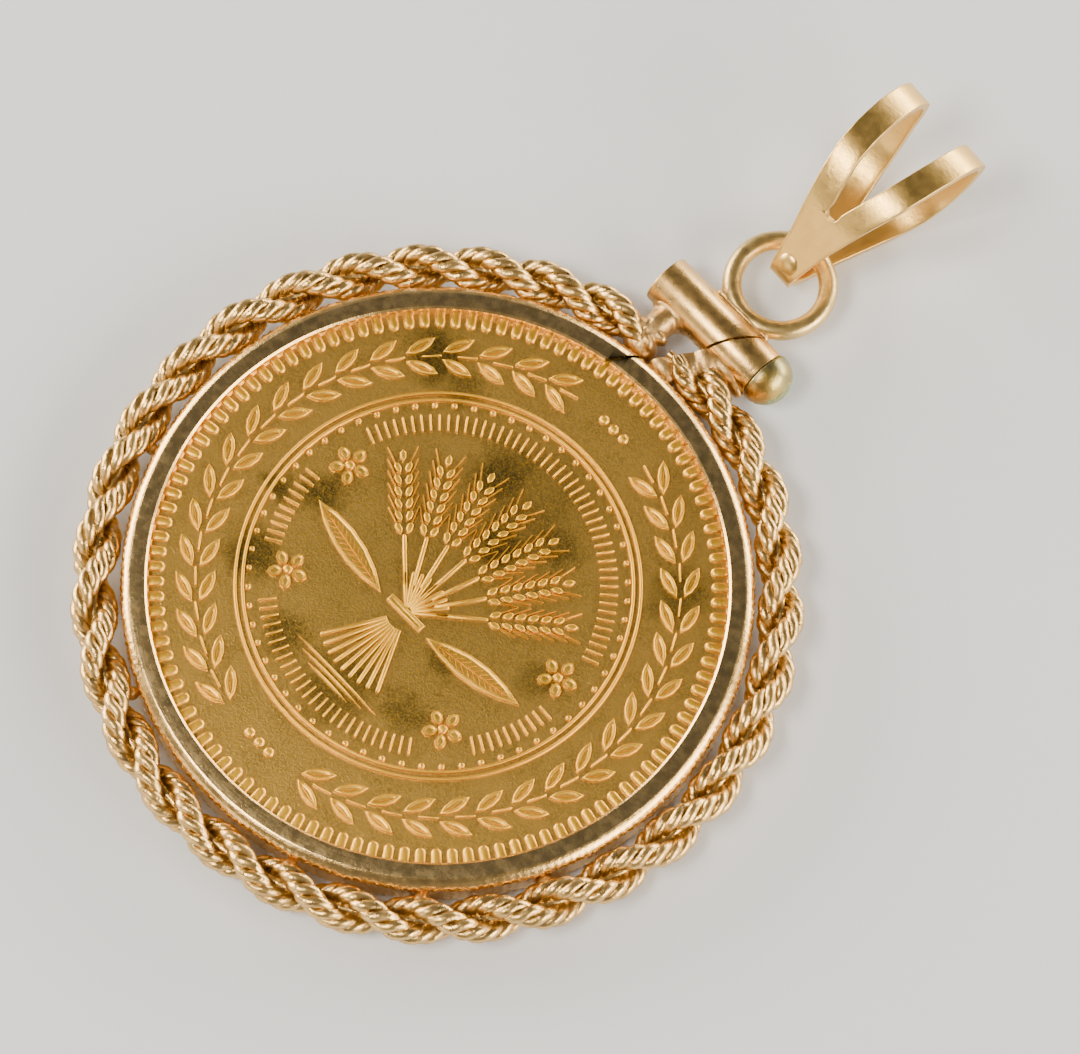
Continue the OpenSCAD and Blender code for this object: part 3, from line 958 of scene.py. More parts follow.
@dataclass
class Sheaf:
    """The wheat sheaf in the middle of the coin, with its leaves and flowers."""

    coin: Coin
    tie_at: Point = (0.0, -1.6)
    tie_w: float = 1.7
    tie_h: float = 0.34
    tie_line: Pair = (0.12, 0.055)
    ears: int = 7
    ear_spread: float = 96.0
    ear_len: float = 3.0
    grain_pairs: int = 6
    grain_overlap: float = 1.25
    grain_w: float = 0.3
    grain_lean: float = 24.0
    grain_out: float = 0.2
    grain_round: float = 0.6
    straw_len: float = 3.0
    straw_w: float = 0.16
    straw_from_tie: float = 1.05
    feet: int = 9
    foot_spread: float = 56.0
    foot_len: float = 3.2
    foot_from_tie: float = 0.7
    short_straws: int = 9
    short_len: float = 1.6
    short_from_tie: float = 0.2
    awn_len: float = 0.9
    awn_w: float = 0.065
    blade_len: float = 4.2
    blade_w: float = 0.95
    blade_at: Point = (3.25, -1.35)
    blade_lean: float = 10.0
    blade_line: Pair = (0.10, 0.045)
    midrib_share: float = 0.9
    midrib_w: float = 0.08
    midrib_line: float = 0.06
    veins: int = 6
    vein_step: float = 0.26
    vein_len: float = 0.42
    vein_w: float = 0.05
    vein_lean: float = 42.0
    vein_middle: float = 0.6
    vein_fade: float = 1.5
    ray_count: int = 120
    ray_r: float = 5.85
    ray_len: float = 0.68
    ray_w: float = 0.10
    ground_y: float = -5.0
    ground_step: float = 0.22
    ground_rows: int = 3
    ground_half: float = 2.1
    ground_w: float = 0.12
    ground_line: float = 0.08
    flower_d: float = 1.5
    flowers: tuple[Point, ...] = ((-4.1, -3.6), (4.1, -3.6), (-5.5, 0.75), (5.5, 0.75))
    petals: int = 5
    petal_len: float = 0.40
    petal_w: float = 0.30
    petal_out: float = 0.32
    petal_line: Pair = (0.09, 0.045)
    heart: float = 0.28
    flower_room: float = 0.68

    @property
    def tie(self) -> Vector:
        """Where the straws are tied."""
        return Vector(self.tie_at)

    def fan(self, count: int, spread: float, middle: float = 90.0) -> Iterator[float]:
        """Give the angles of a fan."""
        for i in range(count):
            yield middle + spread * (i / (count - 1) - 0.5)

    def ear(self, die: Die, angle: float) -> None:
        """Add one ear with its grains and awns.

        Args:
            die: The die that takes it.
            angle: Where the ear points, in degrees.
        """
        grain = leaf_outline(self.grain_overlap * self.ear_len / (self.grain_pairs + 1), self.grain_w, 3)
        awn = bar_outline(self.awn_len, self.awn_w, 2)
        for k in range(self.grain_pairs):
            along = self.straw_len + self.ear_len * (k + 0.5) / (self.grain_pairs + 0.5)
            for side in (-1, 1):
                at = self.tie + polar(along, angle).to_2d() + polar(self.grain_out * side, angle + 90).to_2d()
                turn = angle + self.grain_lean * side
                die.add(self.coin.thread(self.awn_w), awn, at, turn)
                die.add(self.coin.domed(self.grain_w * self.grain_round), grain, at, turn)
        tip = self.tie + polar(self.straw_len + self.ear_len, angle).to_2d()
        die.add(self.coin.domed(self.grain_w * self.grain_round), grain, tip, angle)

    def straws(self, die: Die) -> None:
        """Add the straws above the tie, below it, and the tie.

        Args:
            die: The die that takes them.
        """
        fans = (
            (self.fan(self.ears, self.ear_spread), self.straw_from_tie, self.straw_len),
            (self.fan(self.feet, self.foot_spread, -90.0), self.foot_from_tie, self.foot_len),
            (self.fan(self.short_straws, self.ear_spread), self.short_from_tie, self.short_len),
        )
        for angles, start, end in fans:
            for angle in angles:
                straw = bar_outline(end - start, self.straw_w, 3)
                foot = self.tie + polar(start, angle).to_2d()
                die.add(self.coin.thread(self.straw_w), straw, foot, angle)
        for angle in self.fan(self.ears, self.ear_spread):
            self.ear(die, angle)
        half = Vector((self.tie_w, self.tie_h)) / 2
        tie = [Vector((x * half.x, y * half.y)) for x, y in ((-1, -1), (1, -1), (1, 1), (-1, 1))]
        die.add(self.coin.outlined(*self.tie_line), tie, self.tie)

    def leaves(self, die: Die) -> None:
        """Add the two long leaves, with a midrib and veins.

        Args:
            die: The die that takes them.
        """
        blade = leaf_outline(self.blade_len, self.blade_w, 5)
        midrib = leaf_outline(self.blade_len * self.midrib_share, self.midrib_w, 4)
        for side in (-1, 1):
            at = Vector((side * self.blade_at[0], self.blade_at[1]))
            lean = self.blade_lean if side > 0 else 180 - self.blade_lean
            die.add(self.coin.outlined(*self.blade_line), blade, at, lean)
            die.add(self.coin.thread(self.midrib_line), midrib, at, lean)
            for k in range(-self.veins, self.veins):
                foot = at + polar(k * self.vein_step, lean).to_2d()
                out = abs(k + self.vein_middle) * self.vein_step / (self.blade_len / 2)
                vein = bar_outline(self.vein_len * (1 - out**self.vein_fade), self.vein_w, 2)
                for flip in (-1, 1):
                    die.add(self.coin.thread(self.vein_w), vein, foot, lean + flip * self.vein_lean)

    def blossoms(self, die: Die) -> None:
        """Add the small flowers.

        Args:
            die: The die that takes them.
        """
        petal = leaf_outline(self.petal_len * self.flower_d, self.petal_w * self.flower_d, 4)
        heart = self.heart * self.flower_d
        for place in self.flowers:
            middle = Vector(place)
            for angle in self.fan(self.petals, FULL_TURN * (1 - 1 / self.petals)):
                at = middle + polar(self.petal_out * self.flower_d, angle).to_2d()
                die.add(self.coin.outlined(*self.petal_line), petal, at, angle)
            die.add(self.coin.domed(heart), spot_outline(heart), middle)

    def rays(self, die: Die) -> None:
        """Add a border of fine rays inside the beads, with gaps at the flowers.

        Args:
            die: The die that takes them.
        """
        ray = bar_outline(self.ray_len, self.ray_w, 2)
        for i in range(self.ray_count):
            angle = FULL_TURN * (i + 0.5) / self.ray_count
            foot = polar(self.ray_r, angle).to_2d()
            nearest = min((foot - Vector(place)).length for place in self.flowers)
            if nearest > self.flower_d * self.flower_room:
                die.add(self.coin.thread(self.ray_w), ray, foot, angle)

    def ground(self, die: Die) -> None:
        """Add short level lines under the sheaf.

        Args:
            die: The die that takes them.
        """
        for row in range(self.ground_rows):
            y = self.ground_y - row * self.ground_step
            half = self.ground_half * (1 - row / (self.ground_rows + 1))
            line = leaf_outline(half * 2, self.ground_w)
            die.add(self.coin.thread(self.ground_line), line, Vector((0, y)))

    def struck(self) -> bmesh.types.BMesh:
        """Strike the whole middle design.

        Returns:
            The design's mesh.
        """
        die = self.coin.die()
        self.rays(die)
        self.ground(die)
        self.straws(die)
        self.leaves(die)
        self.blossoms(die)
        return die.strike()


# The mount


@dataclass(frozen=True)
class SawCut:
    """The slanted cut that splits the rim and the tube."""

    tube_y: float = 14.35
    at_tube: float = 0.6
    degrees: float = 33.0
    width: float = 0.1

    def x_at(self, y: float) -> float:
        """Give the cut's middle at a height y."""
        return self.at_tube + (y - self.tube_y) * math.tan(math.radians(self.degrees))

    def normal(self) -> Vector:
        """Give the direction across the cut, to the right."""
        angle = math.radians(self.degrees)
        return Vector((math.cos(angle), -math.sin(angle), 0))

    def across(self, at: Vector) -> float:
        """Give how far a point is from the cut's middle, to the right."""
        return (at - Vector((self.at_tube, self.tube_y, 0))).dot(self.normal())

    def face_point(self, side: Side) -> Vector:
        """Give a point on one of the cut's two faces."""
        return Vector((self.at_tube, self.tube_y, 0)) + self.normal() * (side.value * self.width / 2)

    def trim(self, bm: bmesh.types.BMesh, side: Side, hollow: bool = False) -> None:
        """Cut a mesh at one face of the cut, keep that side and close the wound.

        Args:
            bm: The mesh.
            side: The side that stays.
            hollow: Whether the wound is a ring.
        """
        found = bmesh.ops.bisect_plane(
            bm,
            geom=bm.verts[:] + bm.edges[:] + bm.faces[:],
            plane_co=self.face_point(side),
            plane_no=self.normal(),
            clear_outer=side is Side.LEFT,
            clear_inner=side is Side.RIGHT,
        )
        edges = [g for g in found["geom_cut"] if isinstance(g, bmesh.types.BMEdge)]
        if hollow:
            bmesh.ops.bridge_loops(bm, edges=edges)
        else:
            bmesh.ops.holes_fill(bm, edges=edges)


@dataclass
class Rim:
    """The channel rim that holds the coin, with its fine milled wall."""

    cut: SawCut
    height: float = 1.9
    lip_t: float = 0.25
    opening_r: float = 10.5
    channel_r: float = 11.03
    outer_r: float = 11.48
    inner_bevel: float = 0.08
    shoulder: tuple[Pair, ...] = (
        (0.41, 0.0), (0.36, 0.012), (0.19, 0.1216), (0.07, 0.228), (0.02, 0.2964), (0.0, 0.38), (0.0, 0.48),
    )
    teeth: int = 240
    tooth_depth: float = 0.045
    tooth_reach: float = 0.09
    steps_a_tooth: int = 4

    def profile(self) -> list[Point]:
        """Outline the rim's section: a channel. Its shoulders lie in from the wall and up from the back.

        Returns:
            The section's (radius, height) points.
        """
        inner, high, bevel = self.opening_r, self.height, self.inner_bevel
        half = [(inner + bevel, 0.0)] + [(self.outer_r - away, up) for away, up in self.shoulder]
        lip = [(inner, bevel * 0.8), (inner, self.lip_t), (self.channel_r, self.lip_t)]
        upper = [(r, high - z) for r, z in half[::-1] + lip]
        return half + upper + lip[::-1]

    def mill(self, bm: bmesh.types.BMesh) -> None:
        """Press the fine teeth into the outer wall and the bevels' outer part.

        Args:
            bm: The rim's mesh.
        """
        for vert in bm.verts:
            radius = vert.co.xy.length
            share = (radius - (self.outer_r - self.tooth_reach)) / self.tooth_reach
            if share > 0:
                angle = math.atan2(vert.co.y, vert.co.x)
                depth = self.tooth_depth * min(1.0, share * 2) * (0.5 - 0.5 * math.cos(self.teeth * angle))
                vert.co.xy *= 1 - depth / radius

    def split(self, bm: bmesh.types.BMesh) -> None:
        """Open the saw cut through the side next to the tube.

        Args:
            bm: The rim's mesh.
        """
        near = self.opening_r * 0.8  # the far side has no cut
        for side in Side:
            faces = [f for f in bm.faces if f.calc_center_median().y > near]
            parts = dict.fromkeys(g for f in faces for g in (*f.verts, *f.edges, f))
            bmesh.ops.bisect_plane(
                bm, geom=list(parts), plane_co=self.cut.face_point(side), plane_no=self.cut.normal()
            )
        loose = []
        for face in bm.faces:
            centre = face.calc_center_median()
            if centre.y > near and abs(self.cut.across(centre)) < self.cut.width * 0.49:
                loose.append(face)
        bmesh.ops.delete(bm, geom=loose, context="FACES")
        open_edges = [e for e in bm.edges if e.is_boundary]
        bmesh.ops.edgeloop_fill(bm, edges=open_edges)

    def paint_shade(self, bm: bmesh.types.BMesh) -> None:
        """Mark the painted shade in the saw cut, where the narrow slot lies dark.

        Args:
            bm: The rim's mesh.
        """
        layer = bm.verts.layers.float.new(PAINTED_SHADE)
        for vert in bm.verts:
            vert[layer] = float(vert.co.y > 0 and abs(self.cut.across(vert.co)) < self.cut.width * 0.6)

    def build(self, bench: Bench, gold: bpy.types.Material) -> None:
        """Make the rim.

        Args:
            bench: Where the rim is set down.
            gold: The rim's finish.
        """
        bm = spin_profile(self.profile(), self.teeth * self.steps_a_tooth, closed=True)
        self.mill(bm)
        self.split(bm)
        merge_close(bm)
        self.paint_shade(bm)
        bench.set_down(bm, "rim", gold, Slot.MOUNT, ["bezel_mount"], 32.0)


@dataclass
class ScrewTube:
    """The tube at the cut, in two halves, and the screw that pulls them together."""

    cut: SawCut
    radius: float = 0.98
    bore_r: float = 0.6
    axis_z: float = 1.06
    left: float = 3.1
    right: float = 2.05
    soft: float = 0.05
    steps: int = 64
    head_r: float = 1.03
    head_edge: float = 0.06
    head_gap: float = 0.03
    head_straight: float = 0.2
    dome_h: float = 0.92
    dome_steps: int = 12
    shank_r: float = 0.55
    shank_end: float = -2.6
    thread_from: float = 0.05
    thread_pitch: float = 0.25
    thread_depth: float = 0.06

    def in_place(self, bm: bmesh.types.BMesh) -> bmesh.types.BMesh:
        """Move a mesh from its own axis to the tube's."""
        bmesh.ops.translate(bm, vec=(0, self.cut.tube_y, self.axis_z), verts=bm.verts[:])
        return bm

    def half(self, side: Side) -> bmesh.types.BMesh:
        """Spin one half of the tube and trim it at the cut.

        Args:
            side: The side of the cut that it is on.

        Returns:
            The half's mesh.
        """
        soft = self.soft
        corner = [(self.radius - soft, 0.0), (self.radius - soft * 0.3, soft * 0.3), (self.radius, soft)]
        left = [(r, -self.left + x) for r, x in corner]
        right = [(r, self.right - x) for r, x in reversed(corner)]
        profile = [(self.bore_r, -self.left), *left, *right, (self.bore_r, self.right)]
        bm = spin_profile(profile, self.steps, closed=True, axis=Vector((1, 0, 0)))
        self.in_place(bm)
        self.cut.trim(bm, side, hollow=True)
        merge_close(bm)
        return bm

    def head_foot(self) -> Vector:
        """Give the middle of the head's flat side."""
        return Vector((self.right + self.head_gap, self.cut.tube_y, self.axis_z))

    def head_profile(self) -> list[Point]:
        """Outline the screw's head: a short straight part and a dome.

        Returns:
            The head's (radius, x) points.
        """
        start = self.right + self.head_gap
        dome_start = start + self.head_straight
        dome_r = (self.head_r**2 + self.dome_h**2) / (2 * self.dome_h)
        centre = dome_start + self.dome_h - dome_r
        first = math.asin(min(1.0, (dome_start - centre) / dome_r))
        arc = []
        for i in range(self.dome_steps):
            turn = first + (math.pi / 2 - first) * i / self.dome_steps
            arc.append((dome_r * math.cos(turn), centre + dome_r * math.sin(turn)))
        edge = self.head_edge
        return [
            (0.0, start), (self.head_r - edge, start), (self.head_r - edge / 3, start + edge / 3),
            (self.head_r, start + edge), *arc, (0.0, dome_start + self.dome_h),
        ]

    def shank(self) -> bmesh.types.BMesh:
        """Spin the threaded shank.

        Returns:
            The shank's mesh, in its place.
        """
        profile = [(0.0, self.shank_end)]
        x = self.shank_end + self.thread_from
        while x < self.right:
            profile += [(self.shank_r - self.thread_depth, x), (self.shank_r, x + self.thread_pitch / 2)]
            x += self.thread_pitch
        profile.append((0.0, self.right + self.head_gap))
        return self.in_place(spin_profile(profile, self.steps // 2, axis=Vector((1, 0, 0))))

    def build(self, bench: Bench, gold: bpy.types.Material, brass: bpy.types.Material) -> None:
        """Make both halves of the tube and the screw.

        Args:
            bench: Where the pieces are set down.
            gold: The tube's finish.
            brass: The screw's finish.
        """
        bench.set_down(self.half(Side.LEFT), "tube_left", gold, Slot.MOUNT)
        bench.set_down(self.half(Side.RIGHT), "tube_right", gold, Slot.MOUNT)
        head = self.in_place(spin_profile(self.head_profile(), self.steps, axis=Vector((1, 0, 0))))
        bench.set_down(head, "screw_head", brass, Slot.SCREW, ["closure_screw"])
        bench.set_down(self.shank(), "screw_shank", brass, Slot.SCREW)


@dataclass
class JumpRing:
    """The round wire ring between the tube and the bail."""

    centre: Triple = (-0.02, 17.27, 1.06)
    radius: float = 1.78
    wire_r: float = 0.36
    steps: int = 96
    sides: int = 20

    def build(self, bench: Bench, gold: bpy.types.Material) -> None:
        """Make the ring.

        Args:
            bench: Where the ring is set down.
            gold: The ring's finish.
        """
        wire = [
            (self.radius + self.wire_r * math.cos(math.tau * i / self.sides),
             self.wire_r * math.sin(math.tau * i / self.sides))
            for i in range(self.sides)
        ]
        bm = spin_profile(wire, self.steps, closed=True)
        bmesh.ops.translate(bm, vec=self.centre, verts=bm.verts[:])
        bench.set_down(bm, "jump_ring", gold, Slot.MOUNT)


@dataclass
class Rope:
    """The rope border: two strands of four wires each."""

    cut: SawCut
    radius: float = 12.43
    axis_z: float = 1.06
    strand_offset: float = 0.46
    strand_t: float = 0.84
    strand_w: float = 1.04
    turns: int = 16
    phase: float = 122.0
    swing: float = 24.0
    swing_at: float = 10.0
    wires: int = 4
    wire_r: float = 0.225
    core_r: float = 0.17
    wire_turns: float = 3.1
    start: float = 97.0
    end: float = 97.2 - FULL_TURN
    stations: int = 720
    sides: int = 8
    chord: float = 0.1
    taper: float = 1.0
    thinnest: float = 0.4
    taper_from: float = 92.9
    valley: Pair = (0.27, 0.38)
    inside: Pair = (0.34, 0.58)
    core_lead: float = 3.0
    core_steps: int = 240

    def strand_turn(self, angle: float, phase: float) -> float:
        """Give the strand's angle in the rope's section at an angle round the coin."""
        return phase + self.swing * math.cos(math.radians(angle - self.swing_at)) - self.turns * angle

    def fullness(self, angle: float) -> float:
        """Give how full a strand is: it tapers into the solder at both ends."""
        away = min(self.taper_from - angle, angle - self.end) * math.radians(self.radius)
        return min(1.0, self.thinnest + (1 - self.thinnest) * max(0.0, away) / self.taper)

    def wire_point(self, angle: float, phase: float, wire: int) -> Vector:
        """Give the point of one wire's middle at an angle round the coin.

        Args:
            angle: The angle, in degrees.
            phase: The strand's phase.
            wire: The wire's number in its strand.

        Returns:
            The point.
        """
        full = self.fullness(angle)
        turn = math.radians(self.strand_turn(angle, phase))
        lay = math.radians(FULL_TURN * wire / self.wires) + math.radians(self.wire_turns * self.turns * angle)
        out = self.strand_offset + (self.strand_t / 2 - self.wire_r) * math.cos(lay) * full
        side = (self.strand_w / 2 - self.wire_r) * math.sin(lay) * full
        across = out * math.cos(turn) - side * math.sin(turn)
        up = out * math.sin(turn) + side * math.cos(turn)
        return polar(self.radius + across, angle, self.axis_z + up)

    def paint_shade(self, bm: bmesh.types.BMesh, phase: float) -> None:
        """Mark the painted shade in the valleys between wires and between the strands, where shade falls.

        Args:
            bm: The strand's mesh.
            phase: The strand's phase.
        """
        layer = bm.verts.layers.float.new(PAINTED_SHADE)
        for vert in bm.verts:
            angle = math.degrees(math.atan2(vert.co.y, vert.co.x))
            turn = math.radians(self.strand_turn(angle, phase))
            middle = polar(self.radius, angle, self.axis_z)
            out, up = self.strand_offset * math.cos(turn), self.strand_offset * math.sin(turn)
            strand = polar(self.radius + out, angle, self.axis_z + up)
            deep = [
                min(1.0, max(0.0, (far - (vert.co - at).length) / (far - near)))
                for (near, far), at in ((self.valley, strand), (self.inside, middle))
            ]
            vert[layer] = max(deep)

    def strand(self, phase: float) -> bmesh.types.BMesh:
        """Sweep the wires of one strand. They start at the saw cut.

        Args:
            phase: The strand's phase.

        Returns:
            The strand's mesh.
        """
        bm = bmesh.new()
        for wire in range(self.wires):
            row = []
            for i in range(self.stations + 1):
                angle = self.start + (self.end - self.start) * i / self.stations
                at = self.wire_point(angle, phase, wire)
                if i < self.stations / 10 and at.x < self.cut.x_at(at.y) + self.cut.width:
                    continue
                ahead = self.wire_point(angle - self.chord, phase, wire)
                behind = self.wire_point(angle + self.chord, phase, wire)
                row.append(station(at, ahead - behind, polar(1, angle), self.wire_r * self.fullness(angle)))
            sweep(bm, row, self.sides)
        bmesh.ops.recalc_face_normals(bm, faces=bm.faces[:])
        self.paint_shade(bm, phase)
        return bm

    def build(self, bench: Bench, gold: bpy.types.Material) -> None:
        """Make both strands.

        Args:
            bench: Where the pieces are set down.
            gold: The rope's finish.
        """
        for number, phase in ((1, self.phase), (2, self.phase + 180)):
            name = f"rope_strand_{number}"
            bench.set_down(self.strand(phase), f"{name}_wires", gold, Slot.ROPE, [name], ROUNDED)
        core = bmesh.new()
        row = []
        for i in range(self.core_steps + 1):
            angle = self.start - self.core_lead
            angle += (self.end - self.start + self.core_lead) * i / self.core_steps
            at = polar(self.radius, angle, self.axis_z)
            row.append(station(at, polar(1, angle - 90), polar(1, angle), self.core_r))
        sweep(core, row, self.sides)
        bench.set_down(core, "rope_solder_core", gold, Slot.ROPE, sharp_degrees=ROUNDED)


@dataclass(frozen=True)
class SolderBlob:
    """One drop of solder."""

    at: Triple
    size: Triple
    turn: float = 0.0


@dataclass
class Solder:
    """Solder between the rim, the rope, the tube and the jump ring."""

    cut: SawCut
    left: tuple[SolderBlob, ...] = (
        SolderBlob((-1.90, 13.58, 0.95), (1.05, 0.38, 0.68)),
        SolderBlob((-1.92, 12.75, 1.0), (0.56, 1.30, 0.66)),
        SolderBlob((-1.94, 13.20, 0.9), (0.62, 0.46, 0.58)),
        SolderBlob((-1.42, 12.50, 1.30), (0.30, 0.24, 0.34)),
        SolderBlob((-1.62, 12.02, 1.40), (0.34, 0.22, 0.32), -25),
        SolderBlob((-2.32, 12.36, 1.25), (0.34, 0.28, 0.44), 20),
        SolderBlob((-1.90, 11.90, 0.9), (0.72, 0.56, 0.64)),
    )
    right: tuple[SolderBlob, ...] = (
        SolderBlob((0.55, 13.45, 0.95), (1.25, 0.40, 0.62)),
        SolderBlob((0.25, 13.20, 1.0), (0.85, 0.55, 0.62), -33),
        SolderBlob((-0.15, 12.60, 0.9), (0.72, 0.72, 0.58), -33),
        SolderBlob((-0.62, 11.85, 0.9), (0.72, 0.50, 0.60), -10),
        SolderBlob((1.55, 13.42, 0.75), (0.55, 0.28, 0.42), -20),
    )
    ring: tuple[SolderBlob, ...] = (
        SolderBlob((-0.10, 15.36, 1.06), (1.10, 0.19, 0.42)),
        SolderBlob((-1.10, 15.46, 1.08), (0.36, 0.22, 0.30), 15),
        SolderBlob((0.95, 15.46, 1.05), (0.34, 0.18, 0.28), -20),
    )
    drops: tuple[Pair, ...] = ((290, 0.30), (314, 0.34), (336, 0.34), (200, 0.24), (247, 0.24))
    drop_r: float = 11.72
    drop_z: float = 0.95
    drop_shape: Triple = (1.2, 1.0, 1.4)
    roughen: float = 0.035
    lump: float = 0.55
    cell: float = 0.04
    rounds: int = 26

    def blob(self, bm: bmesh.types.BMesh, drop: SolderBlob) -> None:
        """Add one uneven drop.

        Args:
            bm: The mesh that takes the drop.
            drop: The drop.
        """
        place = Matrix.Translation(drop.at) @ Matrix.Rotation(math.radians(drop.turn), 4, "Z")
        made = bmesh.ops.create_icosphere(
            bm, subdivisions=4, radius=1.0, matrix=place @ Matrix.Diagonal((*drop.size, 1.0))
        )
        for vert in made["verts"]:
            out = (vert.co - Vector(drop.at)).normalized()
            vert.co += out * self.roughen * noise.noise(vert.co / self.lump)

    def mass(self, blobs: Iterable[SolderBlob]) -> bmesh.types.BMesh:
        """Melt drops into one mass.

        Args:
            blobs: The drops.

        Returns:
            The mass.
        """
        bm = bmesh.new()
        for drop in blobs:
            self.blob(bm, drop)
        return fused(bm, self.cell, self.rounds)

    def build(self, bench: Bench, gold: bpy.types.Material) -> None:
        """Make the solder.

        Args:
            bench: Where the pieces are set down.
            gold: The solder's finish.
        """
        bench.set_down(self.mass(self.left), "solder_left", gold, Slot.MOUNT, sharp_degrees=ROUNDED)
        right = self.mass(self.right)
        self.cut.trim(right, Side.RIGHT)
        bench.set_down(right, "solder_right", gold, Slot.MOUNT, sharp_degrees=ROUNDED)
        bench.set_down(self.mass(self.ring), "solder_ring", gold, Slot.MOUNT, sharp_degrees=ROUNDED)
        bm = bmesh.new()
        for angle, size in self.drops:
            at = polar(self.drop_r, angle, self.drop_z)
            self.blob(bm, SolderBlob(tuple(at), tuple(size * share for share in self.drop_shape), angle))
        bench.set_down(bm, "solder_drops", gold, Slot.MOUNT, sharp_degrees=ROUNDED)


@dataclass
class Bail:
    """The double-loop bail: one bent strip of sheet with a notch between its loops."""

    tip_y: float = 17.42
    tip_left: float = 0.33
    length: float = 7.95
    height: float = 5.5
    sheet_t: float = 0.35
    tip_w: float = 1.0
    loops_w: float = 4.16
    loop_w: float = 1.05
    notch_start: float = 2.9
    notch_r: float = 0.27
    pitch: float = 24.0
    yaw: float = 2.9
    roll: float = 3.0
    tip_mid: float = 0.22
    face_share: float = 1.1
    lowest_share: float = 0.55
    pip_r: float = 0.46
    pip_flat: float = 0.42
    pip_at: Point = (0.40, 1.90)
    pip_normal: Point = (-0.773, 0.634)
    steps: int = 8
    columns: int = 4
    arc_steps: int = 4
    arc_room: Pair = (0.06, 0.04)
    crisp_from: float = -0.03
    crisp_share: float = 0.8
    crisp_half: float = 0.3
    bevel_degrees: float = 50.0
    soft: float = 0.045
    outline: tuple[Point, ...] = (
        (0.022, 0.122), (0.098, 0.045), (0.232, 0.007), (0.402, 0.000), (0.561, 0.004), (0.695, 0.060),
        (0.817, 0.182), (0.915, 0.364), (0.982, 0.536), (1.000, 0.673), (0.957, 0.800), (0.866, 0.909),
        (0.720, 0.985), (0.561, 0.996), (0.421, 0.924), (0.280, 0.764), (0.146, 0.536), (0.043, 0.355),
        (0.006, 0.270), (0.000, 0.195),
    )
    widths: tuple[Point, ...] = (
        (0.0, 0.0), (0.19, 0.21), (0.34, 0.44), (0.48, 0.65), (0.59, 0.8), (0.71, 0.9), (0.82, 0.97),
        (0.93, 1.0),
    )

    def half_width(self, along: float) -> float:
        """Give half the bail's width at a distance along its face."""
        share = looked_up(self.widths, along / (self.face_share * self.length))
        return self.tip_w / 2 + (self.loops_w - self.tip_w) / 2 * share

    def half_notch(self, along: float) -> float:
        """Give half the notch's width at a distance along the face.

        Args:
            along: The distance, in millimetres.

        Returns:
            Half the notch's width there.
        """
        centre = self.notch_start + self.notch_r
        if along <= self.notch_start:
            return 0.0
        if along < centre:
            return math.sqrt(max(0.0, self.notch_r**2 - (centre - along) ** 2))
        return max(self.notch_r, self.half_width(along) - self.loop_w)

    def on_face(self, at: Vector) -> float:
        """Give the distance along the face of a point of the side outline."""
        pitch = math.radians(self.pitch)
        return at.x * math.cos(pitch) + (at.y - self.tip_mid * self.height) * math.sin(pitch)

    def side_curve(self) -> list[Vector]:
        """Run the side outline, with points of its own where the notch's round bottom is.

        Returns:
            The curve's points, as (y, z) from the tip.
        """
        curve = [
            Vector((p.x * self.length, max(0.0, p.y) * self.height))
            for p in smooth_between(self.outline, self.steps)
        ]
        turns = (math.radians(90 * i / self.arc_steps) for i in range(self.arc_steps + 1))
        arc = [self.notch_start + self.notch_r * (1 - math.cos(turn)) for turn in turns]
        fine = []
        for a, b in zip(curve, curve[1:] + curve[:1]):
            low, high = self.on_face(a), self.on_face(b)
            if not arc[0] - self.arc_room[0] < low < arc[-1] + self.arc_room[1]:
                fine.append(a)
            shares = [(m - low) / (high - low) for m in arc if (m - low) * (m - high) < 0]
            fine.extend(a.lerp(b, s) for s in sorted(shares))
        return fine

    def in_arc(self, edge: bmesh.types.BMEdge) -> bool:
        """Tell whether an edge is on the notch's round bottom, which stays crisp.

        Args:
            edge: The edge.

        Returns:
            Whether it is there.
        """
        past = [self.on_face(v.co.yz) - self.notch_start for v in edge.verts]
        inside = all(self.crisp_from < p < self.crisp_share * self.notch_r for p in past)
        return inside and all(abs(v.co.x) < self.crisp_half for v in edge.verts)

    def band(self) -> bmesh.types.BMesh:
        """Bend a grid of sheet into the band, with its outline and notch.

        Returns:
            The band's mesh, still without thickness.
        """
        curve = self.side_curve()
        bm = bmesh.new()
        rows = len(curve)
        places = []
        for side in (-1, 1):
            grid = bmesh.ops.create_grid(bm, x_segments=self.columns, y_segments=rows, size=0.5)
            for vert in grid["verts"]:
                column = round((vert.co.x + 0.5) * self.columns)
                row = round((vert.co.y + 0.5) * rows) % rows
                at = curve[row]
                along = self.on_face(at)
                outer, inner = self.half_width(along), self.half_notch(along)
                x = side * (outer + (inner - outer) * column / self.columns)
                places.append((vert, Vector((x, at.x, at.y))))
        for vert, place in places:
            vert.co = place
        merge_close(bm, 1e-3)
        return bm

